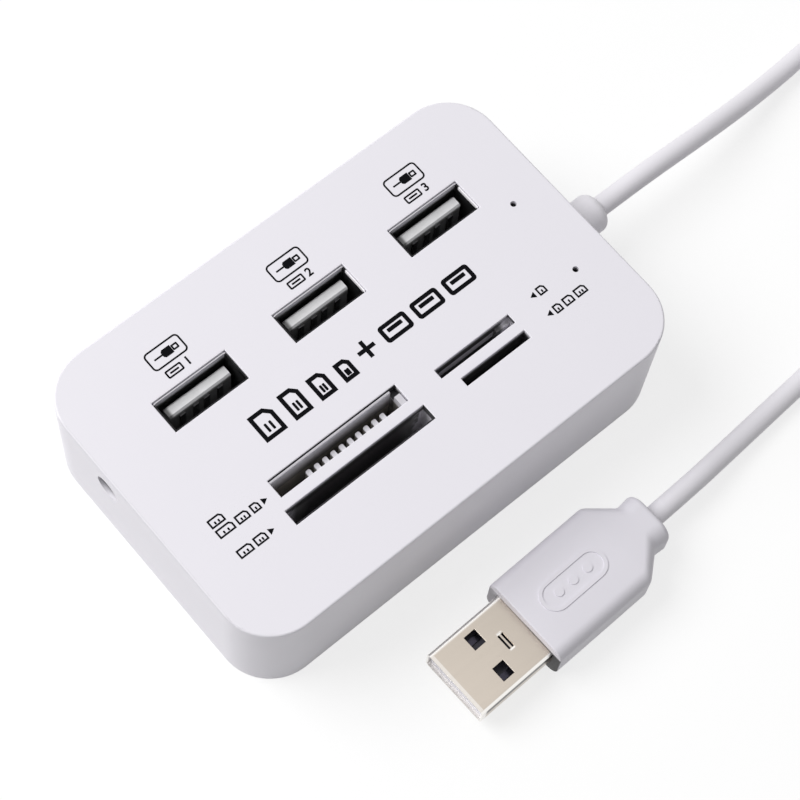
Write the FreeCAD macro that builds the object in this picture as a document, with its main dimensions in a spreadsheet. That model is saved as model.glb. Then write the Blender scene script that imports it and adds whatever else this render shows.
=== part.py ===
"""White hub with three ports and four card slots, its cable and its plug, in millimetres.

X runs along the case towards the cable, Y towards the row of ports and Z up.
The origin is the middle of the underside, on the surface that the case stands on.
"""
import FreeCAD
import Part
import Sketcher
import math
import os
from types import SimpleNamespace

from FreeCAD import Vector

SIZES = {
    # Case
    "hub_length": 82.0,
    "hub_width": 53.4,
    "hub_height": 21.0,
    "corner_radius": 8.5,
    "top_edge_radius": 0.35,
    "opening_edge_radius": 0.15,
    "wall": 2.0,
    "roof": 1.6,
    "base_thickness": 2.4,
    "base_clearance": 0.15,
    # Screws and the posts that they bite into
    "post_inset": 7.5,
    "post_diameter": 6.0,
    "screw_diameter": 2.4,
    "screw_length": 8.0,
    "screw_head_diameter": 4.4,
    "screw_head_height": 1.2,
    "screw_sunk": 0.1,
    "screw_clearance": 0.15,
    # Board
    "standoff_height": 2.0,
    "standoff_diameter": 4.0,
    "standoff_spread_x": 48.0,
    "standoff_spread_y": 38.0,
    "board_thickness": 1.6,
    "board_margin": 2.0,
    "post_clearance": 0.5,
    # Ports
    "port_end_inset": 18.5,
    "port_row_x": 0.35,
    "port_row_y": 10.7,
    "port_cutout_length": 13.6,
    "port_cutout_width": 5.75,
    "port_gap": 0.08,
    "port_sunk": 0.3,
    "port_sheet": 0.22,
    "port_edge_radius": 0.4,
    "port_block_height": 3.0,
    "port_block_clearance": 0.05,
    "tongue_length": 11.3,
    "tongue_thickness": 1.84,
    "tongue_offset": 0.97,
    "tongue_recess": 1.9,
    "tongue_chamfer": 0.3,
    # Spring contacts of the ports and the plug
    "contact_width": 1.0,
    "contact_thickness": 0.25,
    "contact_inner_spread": 2.0,
    "contact_outer_spread": 7.0,
    "contact_tip_gap": 1.2,
    # Card slots
    "socket_wall": 0.8,
    "socket_end_wall": 1.2,
    "socket_floor": 1.0,
    "stick_slot_x": -11.5,
    "stick_slot_y": -8.0,
    "stick_slot_length": 24.0,
    "stick_slot_width": 3.2,
    "stick_liner_height": 3.0,
    "stick_lip_gap": 0.2,
    "stick_lip": 0.35,
    "stick_lip_sunk": 0.3,
    "stick_lip_edge": 0.25,
    "stick_end_block": 1.0,
    "stick_end_gap": 0.25,
    "stick_corner_gap": 1.2,
    "comb_pitch": 1.555,
    "comb_tooth_width": 0.8,
    "comb_tooth_length": 1.35,
    "comb_tip_radius": 0.25,
    "comb_middle_x": -10.6,
    "comb_spine": 0.2,
    "comb_spine_inset": 3.4,
    "large_slot_x": -11.35,
    "large_slot_y": -12.9,
    "large_slot_length": 26.2,
    "large_slot_width": 2.7,
    "large_lip_gap": 0.22,
    "large_lip": 0.14,
    "large_lip_sunk": 0.6,
    "flat_slot_x": 13.8,
    "flat_slot_y": -9.22,
    "flat_slot_length": 14.5,
    "flat_slot_width": 1.65,
    "flat_switch_length": 2.6,
    "flat_switch_width": 0.7,
    "flat_switch_sunk": 0.2,
    "tiny_slot_x": 15.0,
    "tiny_slot_y": -12.6,
    "tiny_slot_length": 12.5,
    "tiny_slot_width": 1.5,
    "pin_thickness": 0.25,
    "pin_length": 7.0,
    # Indicator lamps
    "lamp_end_inset": 7.0,
    "link_lamp_y": 5.0,
    "card_lamp_y": -9.2,
    "lamp_hole": 1.0,
    "lamp_diameter": 3.0,
    "lamp_body_height": 4.2,
    "lamp_roof_gap": 0.1,
    "lamp_chamfer": 0.6,
    "lamp_leg": 0.5,
    "lamp_leg_spread": 1.6,
    # Power jack
    "jack_y": 8.8,
    "jack_z": 15.8,
    "jack_hole": 4.6,
    "jack_bore": 3.7,
    "jack_depth": 7.5,
    "jack_body_length": 9.5,
    "jack_body_width": 6.4,
    "jack_pin_diameter": 1.3,
    "jack_pin_length": 6.0,
    # Board components
    "hub_chip_length": 9.9,
    "hub_chip_width": 5.4,
    "reader_chip_side": 7.0,
    "chip_height": 1.5,
    "chip_row_y": 0.6,
    "hub_chip_x": -13.0,
    "reader_chip_x": 5.0,
    "crystal_length": 11.0,
    "crystal_width": 4.6,
    "crystal_height": 3.5,
    "crystal_end_inset": 12.0,
    "crystal_y": -2.0,
    "capacitor_diameter": 5.0,
    "capacitor_height": 7.0,
    "capacitor_end_inset": 16.5,
    "capacitor_pitch": 6.5,
    # Cable and its grommet
    "cable_diameter": 3.4,
    "cable_exit_z": 9.0,
    "grommet_diameter": 6.7,
    "grommet_length": 8.0,
    "grommet_end_radius": 1.5,
    "grommet_clearance": 0.1,
    "flange_diameter": 9.6,
    "flange_thickness": 1.5,
    "core_diameter": 0.9,
    "core_pitch": 1.0,
    "core_reach": 3.2,
    # Coil of spare cable
    "coil_from_hub": 79.0,
    "coil_y": -20.0,
    "coil_radius": 20.4,
    "coil_stub": 14.0,
    "coil_layer": 3.4,
    "cable_straight": 9.0,
    "tie_thickness": 0.4,
    "tie_width": 6.0,
    # Plug
    "plug_x": -4.9,
    "plug_y": -43.66,
    "plug_angle": 1.4,
    "grip_length": 18.7,
    "grip_width": 15.5,
    "grip_height": 8.6,
    "grip_edge_radius": 2.0,
    "grip_front_radius": 0.2,
    "shoulder_length": 4.4,
    "neck_width": 8.5,
    "collar_width": 9.1,
    "collar_length": 3.1,
    "collar_edge_radius": 2.8,
    "collar_end_radius": 0.8,
    "shell_length": 13.9,
    "shell_seat": 4.0,
    "shell_width": 12.0,
    "shell_height": 4.5,
    "shell_sheet": 0.3,
    "shell_edge_radius": 0.6,
    "shell_clearance": 0.05,
    "latch_hole_length": 2.1,
    "latch_hole_width": 2.5,
    "latch_hole_spread": 6.2,
    "latch_hole_from_tip": 6.75,
    "latch_hole_edge": 0.1,
    "dimple_length": 1.1,
    "dimple_width": 3.2,
    "dimple_depth": 0.2,
    "dimple_from_tip": 10.1,
    "dimple_slot_length": 0.34,
    "dimple_slot_width": 2.6,
    "dimple_slot_spread": 0.64,
    "insulator_height": 1.95,
    "insulator_recess": 0.6,
    "plug_contact_length": 7.5,
}

PORT_COUNT = 3
COMB_TEETH = 10
LARGE_PINS = 9
FLAT_PINS = 11
TINY_PINS = 8
CORE_COUNT = 4

# Corner radius of a round-ended outline as a share of its width, just short of a half circle
FULL_ROUNDING = 0.49
# Share of the shorter run that an arc of the cable takes up
ARC_SHARE = 0.45
SAME_PLACE = 1e-4

document = FreeCAD.newDocument("hub_card_reader")
sheet = document.addObject("Spreadsheet::Sheet", "sizes")
for row, (alias, number) in enumerate(SIZES.items(), start=1):
    sheet.set(f"A{row}", alias)
    sheet.set(f"B{row}", str(number))
    sheet.setAlias(f"B{row}", alias)
document.recompute()


class Size:
    """A length that keeps its number together with the sheet formula that gives it."""

    def __init__(self, value, text):
        self.value = value
        self.text = text

    def __add__(self, other):
        other = as_size(other)
        return Size(self.value + other.value, f"({self.text} + {other.text})")

    def __radd__(self, other):
        return as_size(other) + self

    def __sub__(self, other):
        other = as_size(other)
        return Size(self.value - other.value, f"({self.text} - {other.text})")

    def __rsub__(self, other):
        return as_size(other) - self

    def __mul__(self, factor):
        return Size(self.value * factor, f"({self.text} * {factor})")

    def __rmul__(self, factor):
        return self * factor

    def __truediv__(self, divisor):
        return Size(self.value / divisor, f"({self.text} / {divisor})")

    def __neg__(self):
        return Size(-self.value, f"(0 - {self.text})")


def as_size(length):
    """A plain number as a Size."""
    if isinstance(length, Size):
        return length
    return Size(float(length), f"({length})")


size = SimpleNamespace(**{name: Size(float(sheet.get(name)), f"sizes.{name}") for name in SIZES})
parts = {}


def bind(item, path, length):
    """Ties a property to its sheet formula."""
    item.setExpression(path, as_size(length).text)


def keep(label, item):
    """Enters a finished sub-part under its own label."""
    item.Label = label
    parts[label] = item
    return item


def body(label):
    """Empty body of a sub-part."""
    return keep(label, document.addObject("PartDesign::Body", label))


def place(item, x, y, z, angle=0):
    """Puts a piece at x, y and z, turned about the vertical."""
    item.Placement = FreeCAD.Placement(Vector(), FreeCAD.Rotation(Vector(0, 0, 1), as_size(angle).value))
    bind(item, "Placement.Base.x", x)
    bind(item, "Placement.Base.y", y)
    bind(item, "Placement.Base.z", z)
    bind(item, "Placement.Rotation.Angle", angle)


def sketch(owner, name, role="XY_Plane", across=0, up=0, lift=0):
    """Sketch on an origin plane of its body, moved across, up and along the plane's normal."""
    plane = next(item for item in owner.Origin.OriginFeatures if item.Role == role)
    item = owner.newObject("Sketcher::SketchObject", f"{owner.Name}_{name}")
    item.AttachmentSupport = (plane, [""])
    item.MapMode = "FlatFace"
    bind(item, "AttachmentOffset.Base.x", across)
    bind(item, "AttachmentOffset.Base.y", up)
    bind(item, "AttachmentOffset.Base.z", lift)
    return item


def dimension(item, kind, places, length):
    """Sketch dimension that follows a size."""
    length = as_size(length)
    index = item.addConstraint(Sketcher.Constraint(kind, *places, length.value))
    bind(item, f"Constraints[{index}]", length)


def draw_rectangle(item, length, width):
    """Rectangle about the sketch's origin."""
    half_length = as_size(length).value / 2
    half_width = as_size(width).value / 2
    corners = [
        Vector(-half_length, -half_width, 0),
        Vector(half_length, -half_width, 0),
        Vector(half_length, half_width, 0),
        Vector(-half_length, half_width, 0),
    ]
    lines = [
        item.addGeometry(Part.LineSegment(start, end), False)
        for start, end in zip(corners, corners[1:] + corners[:1])
    ]
    bottom, right, top, left = lines
    for first, second in zip(lines, lines[1:] + lines[:1]):
        item.addConstraint(Sketcher.Constraint("Coincident", first, 2, second, 1))
    for line in (bottom, top):
        item.addConstraint(Sketcher.Constraint("Horizontal", line))
    for line in (right, left):
        item.addConstraint(Sketcher.Constraint("Vertical", line))
    item.addConstraint(Sketcher.Constraint("Symmetric", bottom, 1, top, 1, -1, 1))
    dimension(item, "DistanceX", (bottom, 1, bottom, 2), length)
    dimension(item, "DistanceY", (right, 1, right, 2), width)


def draw_rounded_rectangle(item, length, width, radius):
    """Rectangle about the sketch's origin with rounded corners."""
    reach_x = as_size(length).value / 2
    reach_y = as_size(width).value / 2
    curve = as_size(radius).value
    inset_x = reach_x - curve
    inset_y = reach_y - curve
    runs = [
        (Vector(-inset_x, -reach_y, 0), Vector(inset_x, -reach_y, 0)),
        (Vector(reach_x, -inset_y, 0), Vector(reach_x, inset_y, 0)),
        (Vector(inset_x, reach_y, 0), Vector(-inset_x, reach_y, 0)),
        (Vector(-reach_x, inset_y, 0), Vector(-reach_x, -inset_y, 0)),
    ]
    centres = [(inset_x, -inset_y), (inset_x, inset_y), (-inset_x, inset_y), (-inset_x, -inset_y)]
    lines = [item.addGeometry(Part.LineSegment(start, end), False) for start, end in runs]
    arcs = []
    for index, (x, y) in enumerate(centres):
        circle = Part.Circle(Vector(x, y, 0), Vector(0, 0, 1), curve)
        start = (index - 1) * math.pi / 2
        arcs.append(item.addGeometry(Part.ArcOfCircle(circle, start, start + math.pi / 2), False))
    for line, arc, following in zip(lines, arcs, lines[1:] + lines[:1]):
        item.addConstraint(Sketcher.Constraint("Tangent", line, 2, arc, 1))
        item.addConstraint(Sketcher.Constraint("Tangent", arc, 2, following, 1))
    bottom, right, top, left = lines
    for line in (bottom, top):
        item.addConstraint(Sketcher.Constraint("Horizontal", line))
    for line in (right, left):
        item.addConstraint(Sketcher.Constraint("Vertical", line))
    for arc in arcs[1:]:
        item.addConstraint(Sketcher.Constraint("Equal", arcs[0], arc))
    item.addConstraint(Sketcher.Constraint("Symmetric", arcs[0], 3, arcs[2], 3, -1, 1))
    dimension(item, "Radius", (arcs[0],), radius)
    dimension(item, "DistanceX", (left, 1, right, 2), length)
    dimension(item, "DistanceY", (bottom, 1, top, 2), width)


def draw_circle(item, diameter):
    """Circle about the sketch's origin."""
    circle = item.addGeometry(Part.Circle(Vector(), Vector(0, 0, 1), as_size(diameter).value / 2), False)
    item.addConstraint(Sketcher.Constraint("Coincident", circle, 3, -1, 1))
    dimension(item, "Diameter", (circle,), diameter)


def draw_four_circles(item, spread_x, spread_y, diameter):
    """Four equal circles on the corners of a rectangle about the sketch's origin."""
    half_x = as_size(spread_x).value / 2
    half_y = as_size(spread_y).value / 2
    centres = [(half_x, half_y), (-half_x, half_y), (-half_x, -half_y), (half_x, -half_y)]
    radius = as_size(diameter).value / 2
    circles = [
        item.addGeometry(Part.Circle(Vector(x, y, 0), Vector(0, 0, 1), radius), False) for x, y in centres
    ]
    first, beside, across, below = circles
    for circle in circles[1:]:
        item.addConstraint(Sketcher.Constraint("Equal", first, circle))
    item.addConstraint(Sketcher.Constraint("Symmetric", first, 3, beside, 3, -2))
    item.addConstraint(Sketcher.Constraint("Symmetric", first, 3, below, 3, -1))
    item.addConstraint(Sketcher.Constraint("Symmetric", first, 3, across, 3, -1, 1))
    dimension(item, "DistanceX", (beside, 3, first, 3), spread_x)
    dimension(item, "DistanceY", (below, 3, first, 3), spread_y)
    dimension(item, "Diameter", (first,), diameter)


def pad(owner, item, length, reverse=False):
    """Adds a sketch's area along its normal."""
    feature = owner.newObject("PartDesign::Pad", f"{item.Name}_pad")
    feature.Profile = item
    feature.Reversed = reverse
    bind(feature, "Length", length)
    item.Visibility = False
    owner.Tip = feature
    document.recompute()
    return feature


def pocket(owner, item, depth, reverse=False):
    """Cuts a sketch's area against its normal, or along it when reversed."""
    before = owner.Shape.Volume
    feature = owner.newObject("PartDesign::Pocket", f"{item.Name}_pocket")
    feature.Profile = item
    feature.Reversed = reverse
    bind(feature, "Length", depth)
    owner.Tip = feature
    document.recompute()
    if owner.Shape.Volume >= before:
        raise RuntimeError(f"{feature.Name} cuts nothing")
    return feature


def round_edges(owner, name, radius, chosen, kind="Fillet"):
    """Fillet or chamfer on the edges of the body that a test picks."""
    names = [f"Edge{index}" for index, edge in enumerate(owner.Shape.Edges, start=1) if chosen(edge)]
    if not names:
        raise RuntimeError(f"{owner.Label} has no edges for {name}")
    base = owner.Tip
    feature = owner.newObject(f"PartDesign::{kind}", f"{owner.Name}_{name}")
    feature.Base = (base, names)
    bind(feature, "Radius" if kind == "Fillet" else "Size", radius)
    owner.Tip = feature
    document.recompute()
    return feature


def near(first, second):
    """Whether two lengths agree."""
    return abs(first - second) < SAME_PLACE


def runs_along(edge, axis):
    """Whether an edge is straight and parallel to an axis, 0 for X, 1 for Y or 2 for Z."""
    if edge.Curve.TypeId != "Part::GeomLine":
        return False
    return near(abs(edge.tangentAt(edge.FirstParameter)[axis]), 1)


def lies_at_height(edge, height):
    """Whether an edge lies wholly at one height."""
    box = edge.BoundBox
    return near(box.ZMin, height) and near(box.ZMax, height)


def block(name, length, width, height, x, y, z):
    """Box with its underside centred on x and y at height z."""
    item = document.addObject("Part::Box", name)
    bind(item, "Length", length)
    bind(item, "Width", width)
    bind(item, "Height", height)
    bind(item, "Placement.Base.x", x - as_size(length) / 2)
    bind(item, "Placement.Base.y", y - as_size(width) / 2)
    bind(item, "Placement.Base.z", z)
    return item


def group(label, members):
    """Several separate solids kept as one sub-part."""
    item = document.addObject("Part::Compound", label)
    item.Links = members
    return keep(label, item)


def cut(label, base, tools):
    """One solid with others taken out of it."""
    tool = document.addObject("Part::MultiFuse", f"{label}_cuts")
    tool.Shapes = tools
    item = document.addObject("Part::Cut", label)
    item.Base = base
    item.Tool = tool
    return keep(label, item)


# Heights and places that several pieces share
board_bottom = size.base_thickness + size.standoff_height
board_top = board_bottom + size.board_thickness
roof_under = size.hub_height - size.roof
inner_height = roof_under - board_top
post_spread_x = size.hub_length - 2 * size.post_inset
post_spread_y = size.hub_width - 2 * size.post_inset
screw_head_top = size.screw_sunk + size.screw_head_height
inner_wall_x = size.hub_length / 2 - size.wall
port_pitch = (size.hub_length / 2 - size.port_end_inset) / ((PORT_COUNT - 1) / 2)
port_places = [
    size.port_row_x + (index - (PORT_COUNT - 1) / 2) * port_pitch for index in range(PORT_COUNT)
]
lamp_x = size.hub_length / 2 - size.lamp_end_inset
coil_x = size.hub_length / 2 + size.coil_from_hub


def make_top_shell():
    """Cover with its walls: rounded box, hollow from below, with posts and every opening."""
    shell = body("top_shell")
    outline = sketch(shell, "outline")
    draw_rectangle(outline, size.hub_length, size.hub_width)
    pad(shell, outline, size.hub_height)
    round_edges(shell, "corners", size.corner_radius, lambda edge: runs_along(edge, 2))
    round_edges(
        shell, "top_edge", size.top_edge_radius,
        lambda edge: lies_at_height(edge, size.hub_height.value),
    )

    cavity = sketch(shell, "cavity")
    draw_rounded_rectangle(
        cavity, size.hub_length - 2 * size.wall, size.hub_width - 2 * size.wall,
        size.corner_radius - size.wall,
    )
    pocket(shell, cavity, roof_under, reverse=True)

    posts = sketch(shell, "posts", lift=size.base_thickness)
    draw_four_circles(posts, post_spread_x, post_spread_y, size.post_diameter)
    pad(shell, posts, roof_under - size.base_thickness)
    pilots = sketch(shell, "pilots", lift=size.base_thickness)
    draw_four_circles(pilots, post_spread_x, post_spread_y, size.screw_diameter + 2 * size.screw_clearance)
    pocket(shell, pilots, size.screw_length, reverse=True)

    openings = [
        (f"port_{index}", size.port_cutout_length, size.port_cutout_width, x, size.port_row_y)
        for index, x in enumerate(port_places, start=1)
    ]
    openings += [
        ("stick", size.stick_slot_length, size.stick_slot_width, size.stick_slot_x, size.stick_slot_y),
        ("large", size.large_slot_length, size.large_slot_width, size.large_slot_x, size.large_slot_y),
        ("flat", size.flat_slot_length, size.flat_slot_width, size.flat_slot_x, size.flat_slot_y),
        ("tiny", size.tiny_slot_length, size.tiny_slot_width, size.tiny_slot_x, size.tiny_slot_y),
    ]
    for name, length, width, x, y in openings:
        opening = sketch(shell, name, across=x, up=y, lift=size.hub_height)
        draw_rectangle(opening, length, width)
        pocket(shell, opening, size.roof)
    flat_reach = (size.hub_width / 2 - size.top_edge_radius).value
    round_edges(
        shell, "opening_edges", size.opening_edge_radius,
        lambda edge: lies_at_height(edge, size.hub_height.value)
        and edge.Curve.TypeId == "Part::GeomLine"
        and max(abs(edge.BoundBox.YMin), abs(edge.BoundBox.YMax)) < flat_reach - SAME_PLACE
        and edge.BoundBox.XMax < lamp_x.value,
    )
    for name, y in (("link_lamp", size.link_lamp_y), ("card_lamp", size.card_lamp_y)):
        hole = sketch(shell, name, across=lamp_x, up=y, lift=size.hub_height)
        draw_circle(hole, size.lamp_hole)
        pocket(shell, hole, size.roof)

    jack = sketch(shell, "jack", "YZ_Plane", across=size.jack_y, up=size.jack_z, lift=-size.hub_length / 2)
    draw_circle(jack, size.jack_hole)
    pocket(shell, jack, size.wall, reverse=True)
    cable = sketch(shell, "cable", "YZ_Plane", up=size.cable_exit_z, lift=size.hub_length / 2)
    draw_circle(cable, size.grommet_diameter + 2 * size.grommet_clearance)
    pocket(shell, cable, size.wall)


def make_base_plate():
    """Flat base inside the walls, with standoffs for the board and sunk screw holes."""
    base = body("base_plate")
    margin = 2 * (size.wall + size.base_clearance)
    outline = sketch(base, "outline")
    draw_rectangle(outline, size.hub_length - margin, size.hub_width - margin)
    pad(base, outline, size.base_thickness)
    round_edges(
        base, "corners", size.corner_radius - size.wall - size.base_clearance,
        lambda edge: runs_along(edge, 2),
    )
    standoffs = sketch(base, "standoffs", lift=size.base_thickness)
    draw_four_circles(standoffs, size.standoff_spread_x, size.standoff_spread_y, size.standoff_diameter)
    pad(base, standoffs, size.standoff_height)
    heads = sketch(base, "heads")
    head_hole = size.screw_head_diameter + 4 * size.screw_clearance
    draw_four_circles(heads, post_spread_x, post_spread_y, head_hole)
    pocket(base, heads, screw_head_top, reverse=True)
    shanks = sketch(base, "shanks")
    draw_four_circles(shanks, post_spread_x, post_spread_y, size.screw_diameter + 2 * size.screw_clearance)
    pocket(base, shanks, size.base_thickness, reverse=True)


def make_base_screws():
    """Four pan-head screws, heads down, that hold the base to the posts."""
    screws = []
    for side_x in (-0.5, 0.5):
        for side_y in (-0.5, 0.5):
            head = document.addObject("Part::Cylinder", "screw_head")
            bind(head, "Radius", size.screw_head_diameter / 2)
            bind(head, "Height", size.screw_head_height)
            place(head, post_spread_x * side_x, post_spread_y * side_y, size.screw_sunk)
            shank = document.addObject("Part::Cylinder", "screw_shank")
            bind(shank, "Radius", size.screw_diameter / 2)
            bind(shank, "Height", size.screw_length)
            place(shank, post_spread_x * side_x, post_spread_y * side_y, screw_head_top)
            screw = document.addObject("Part::MultiFuse", "screw")
            screw.Shapes = [head, shank]
            screws.append(screw)
    group("base_screws", screws)


def make_main_board():
    """Circuit board with its corners cut out round the posts."""
    length = size.hub_length - 2 * (size.wall + size.board_margin)
    width = size.hub_width - 2 * (size.wall + size.board_margin)
    notch = size.post_inset + size.post_diameter / 2 + size.post_clearance - size.wall - size.board_margin
    board = block("board_blank", length, width, size.board_thickness, as_size(0), as_size(0), board_bottom)
    notches = []
    for side_x in (-1, 1):
        for side_y in (-1, 1):
            x = (length - notch) * (side_x / 2)
            y = (width - notch) * (side_y / 2)
            notches.append(block("notch", notch, notch, size.board_thickness, x, y, board_bottom))
    cut("main_board", board, notches)


def make_port(index, x):
    """One upright port: sheet-metal shell up through the cover, tongue on its block, and four contacts."""
    mouth = size.hub_height - size.port_sunk - board_top
    outer_length = size.port_cutout_length - 2 * size.port_gap
    outer_width = size.port_cutout_width - 2 * size.port_gap
    inner_length = outer_length - 2 * size.port_sheet
    inner_width = outer_width - 2 * size.port_sheet
    shell = body(f"port_shell_{index}")
    tube = sketch(shell, "tube")
    draw_rectangle(tube, outer_length, outer_width)
    pad(shell, tube, mouth)
    round_edges(shell, "edges", size.port_edge_radius, lambda edge: runs_along(edge, 2))
    inside = sketch(shell, "inside")
    draw_rounded_rectangle(inside, inner_length, inner_width, size.port_edge_radius - size.port_sheet)
    pocket(shell, inside, mouth, reverse=True)
    place(shell, x, size.port_row_y, board_top)

    tongue = body(f"port_tongue_{index}")
    foot = sketch(tongue, "foot")
    draw_rectangle(
        foot,
        inner_length - 2 * size.port_block_clearance,
        inner_width - 2 * size.port_block_clearance,
    )
    pad(tongue, foot, size.port_block_height)
    round_edges(
        tongue, "foot_corners", size.port_edge_radius - size.port_sheet, lambda edge: runs_along(edge, 2)
    )
    blade = sketch(tongue, "blade", up=size.tongue_offset)
    draw_rectangle(blade, size.tongue_length, size.tongue_thickness)
    tip = mouth - size.tongue_recess
    pad(tongue, blade, tip)
    round_edges(
        tongue, "tip", size.tongue_chamfer,
        lambda edge: lies_at_height(edge, tip.value) and runs_along(edge, 0),
        kind="Chamfer",
    )
    place(tongue, x, size.port_row_y, board_top)

    contacts = []
    face = size.port_row_y + size.tongue_offset - size.tongue_thickness / 2
    height = tip - size.contact_tip_gap - size.port_block_height
    for spread in (size.contact_outer_spread, size.contact_inner_spread):
        for side in (-0.5, 0.5):
            contacts.append(block(
                f"port_contact_{index}", size.contact_width, size.contact_thickness, height,
                x + spread * side, face - size.contact_thickness / 2, board_top + size.port_block_height,
            ))
    group(f"port_contacts_{index}", contacts)


def make_card_socket(label, x, y, length, width, bottom, height, floor):
    """Upright socket under a card slot: a block with the slot cut down it to a floor, or right through."""
    socket = body(label)
    outline = sketch(socket, "outline")
    draw_rectangle(outline, length + 2 * size.socket_end_wall, width + 2 * size.socket_wall)
    pad(socket, outline, height)
    slot = sketch(socket, "slot", lift=height)
    draw_rectangle(slot, length, width)
    pocket(socket, slot, height - floor)
    place(socket, x, y, bottom)
    return socket


def make_stick_socket():
    """Socket of the widest slot under a light lining, whose lip and comb show in the cover's opening."""
    left = size.stick_slot_x - size.stick_slot_length / 2
    right = size.stick_slot_x + size.stick_slot_length / 2
    front = size.stick_slot_y - size.stick_slot_width / 2
    back = size.stick_slot_y + size.stick_slot_width / 2
    cavity_right = right - size.stick_end_gap - size.stick_end_block
    cavity_back = back - size.stick_lip_gap - size.stick_lip
    length = cavity_right - left
    width = cavity_back - front
    middle_x = (left + cavity_right) / 2
    middle_y = (front + cavity_back) / 2
    liner_bottom = roof_under - size.stick_liner_height
    make_card_socket(
        "stick_socket", middle_x, middle_y, length, width,
        board_top, liner_bottom - board_top, size.socket_floor,
    )
    make_pins(
        "stick_pins", COMB_TEETH - 1, size.comb_pitch, size.comb_pitch - 1.25 * size.comb_tooth_width,
        size.comb_middle_x, front,
    )

    liner_height = size.stick_liner_height
    liner = make_card_socket(
        "stick_liner", middle_x, middle_y, length, width, liner_bottom, liner_height, as_size(0)
    )
    lip_height = size.roof - size.stick_lip_sunk
    lip = sketch(liner, "lip", up=width / 2 + size.stick_lip / 2, lift=liner_height)
    draw_rectangle(lip, length, size.stick_lip)
    pad(liner, lip, lip_height)
    lip_top = (roof_under + lip_height).value
    round_edges(
        liner, "lip_edge", size.stick_lip_edge,
        lambda edge: lies_at_height(edge, lip_top)
        and runs_along(edge, 0)
        and near(edge.BoundBox.YMax, cavity_back.value),
    )
    end_width = width - size.stick_corner_gap + size.stick_lip
    end = sketch(
        liner, "end",
        across=length / 2 + size.stick_end_block / 2,
        up=end_width / 2 - width / 2,
        lift=liner_height,
    )
    draw_rectangle(end, size.stick_end_block, end_width)
    pad(liner, end, lip_height)
    spine_length = length - size.comb_spine_inset
    spine = sketch(
        liner, "spine", across=size.comb_spine_inset / 2, up=size.comb_spine / 2 - width / 2
    )
    draw_rectangle(spine, spine_length, size.comb_spine)
    pad(liner, spine, liner_height)

    first_tooth = size.comb_middle_x - middle_x - size.comb_pitch * ((COMB_TEETH - 1) / 2)
    tooth = sketch(
        liner, "tooth", across=first_tooth, up=size.comb_tooth_length / 2 - width / 2
    )
    draw_rectangle(tooth, size.comb_tooth_width, size.comb_tooth_length)
    tooth_pad = pad(liner, tooth, liner_height)
    comb = liner.newObject("PartDesign::LinearPattern", "stick_liner_comb")
    comb.Originals = [tooth_pad]
    comb.Direction = (tooth, ["H_Axis"])
    comb.Occurrences = COMB_TEETH
    bind(comb, "Length", size.comb_pitch * (COMB_TEETH - 1))
    liner.Tip = comb
    document.recompute()
    tip = (front + size.comb_tooth_length).value
    round_edges(
        liner, "tips", size.comb_tip_radius,
        lambda edge: runs_along(edge, 2) and near(edge.Vertexes[0].Y, tip),
    )


def make_large_socket():
    """Dark socket whose thin front lip stands up just inside the cover's opening."""
    rim = size.large_lip_gap + size.large_lip
    width = size.large_slot_width - rim
    middle_y = size.large_slot_y + rim / 2
    socket = make_card_socket(
        "large_socket", size.large_slot_x, middle_y, size.large_slot_length, width,
        board_top, inner_height, size.socket_floor,
    )
    lip = sketch(socket, "lip", up=-(width + size.large_lip) / 2, lift=inner_height)
    draw_rectangle(lip, size.large_slot_length - 2 * size.large_lip_gap, size.large_lip)
    pad(socket, lip, size.roof - size.large_lip_sunk)
    pitch = size.large_slot_length / (LARGE_PINS + 1)
    make_pins("large_pins", LARGE_PINS, pitch, pitch / 2, size.large_slot_x, middle_y - width / 2)


def make_pins(label, count, pitch, width, middle_x, front):
    """Row of flat card springs on the front wall of a slot."""
    pins = [
        block(
            f"{label}_pin", width, size.pin_thickness, size.pin_length,
            middle_x + pitch * (index - (count - 1) / 2), front + size.pin_thickness / 2,
            board_top + size.socket_floor,
        )
        for index in range(count)
    ]
    group(label, pins)


def make_card_sockets():
    """The four card sockets with their springs, and the switch at the end of the upper short slot."""
    make_stick_socket()
    make_large_socket()
    slots = (
        ("flat", FLAT_PINS, size.flat_slot_x, size.flat_slot_y, size.flat_slot_length,
         size.flat_slot_width),
        ("tiny", TINY_PINS, size.tiny_slot_x, size.tiny_slot_y, size.tiny_slot_length,
         size.tiny_slot_width),
    )
    for name, count, x, y, length, width in slots:
        make_card_socket(
            f"{name}_socket", x, y, length, width, board_top, inner_height, size.socket_floor
        )
        pitch = length / (count + 1)
        make_pins(f"{name}_pins", count, pitch, pitch / 2, x, y - width / 2)
    switch_x = size.flat_slot_x + (size.flat_slot_length - size.flat_switch_length) / 2
    switch_y = size.flat_slot_y + (size.flat_slot_width - size.flat_switch_width) / 2
    keep("flat_switch", block(
        "flat_switch", size.flat_switch_length, size.flat_switch_width,
        inner_height - size.socket_floor - size.flat_switch_sunk,
        switch_x, switch_y, board_top + size.socket_floor,
    ))


def make_lamp(label, y):
    """Small flat-topped lamp on two legs, right under its hole in the cover."""
    lamp = body(label)
    top = roof_under - size.lamp_roof_gap
    lens = sketch(lamp, "lens", lift=top - size.lamp_body_height - board_top)
    draw_circle(lens, size.lamp_diameter)
    pad(lamp, lens, size.lamp_body_height)
    round_edges(
        lamp, "crown", size.lamp_chamfer,
        lambda edge: lies_at_height(edge, (top - board_top).value),
        kind="Chamfer",
    )
    for side in (-0.5, 0.5):
        leg = sketch(lamp, "leg", across=size.lamp_leg_spread * side)
        draw_rectangle(leg, size.lamp_leg, size.lamp_leg)
        pad(lamp, leg, top - size.lamp_body_height - board_top)
    place(lamp, lamp_x, y, board_top)


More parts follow.
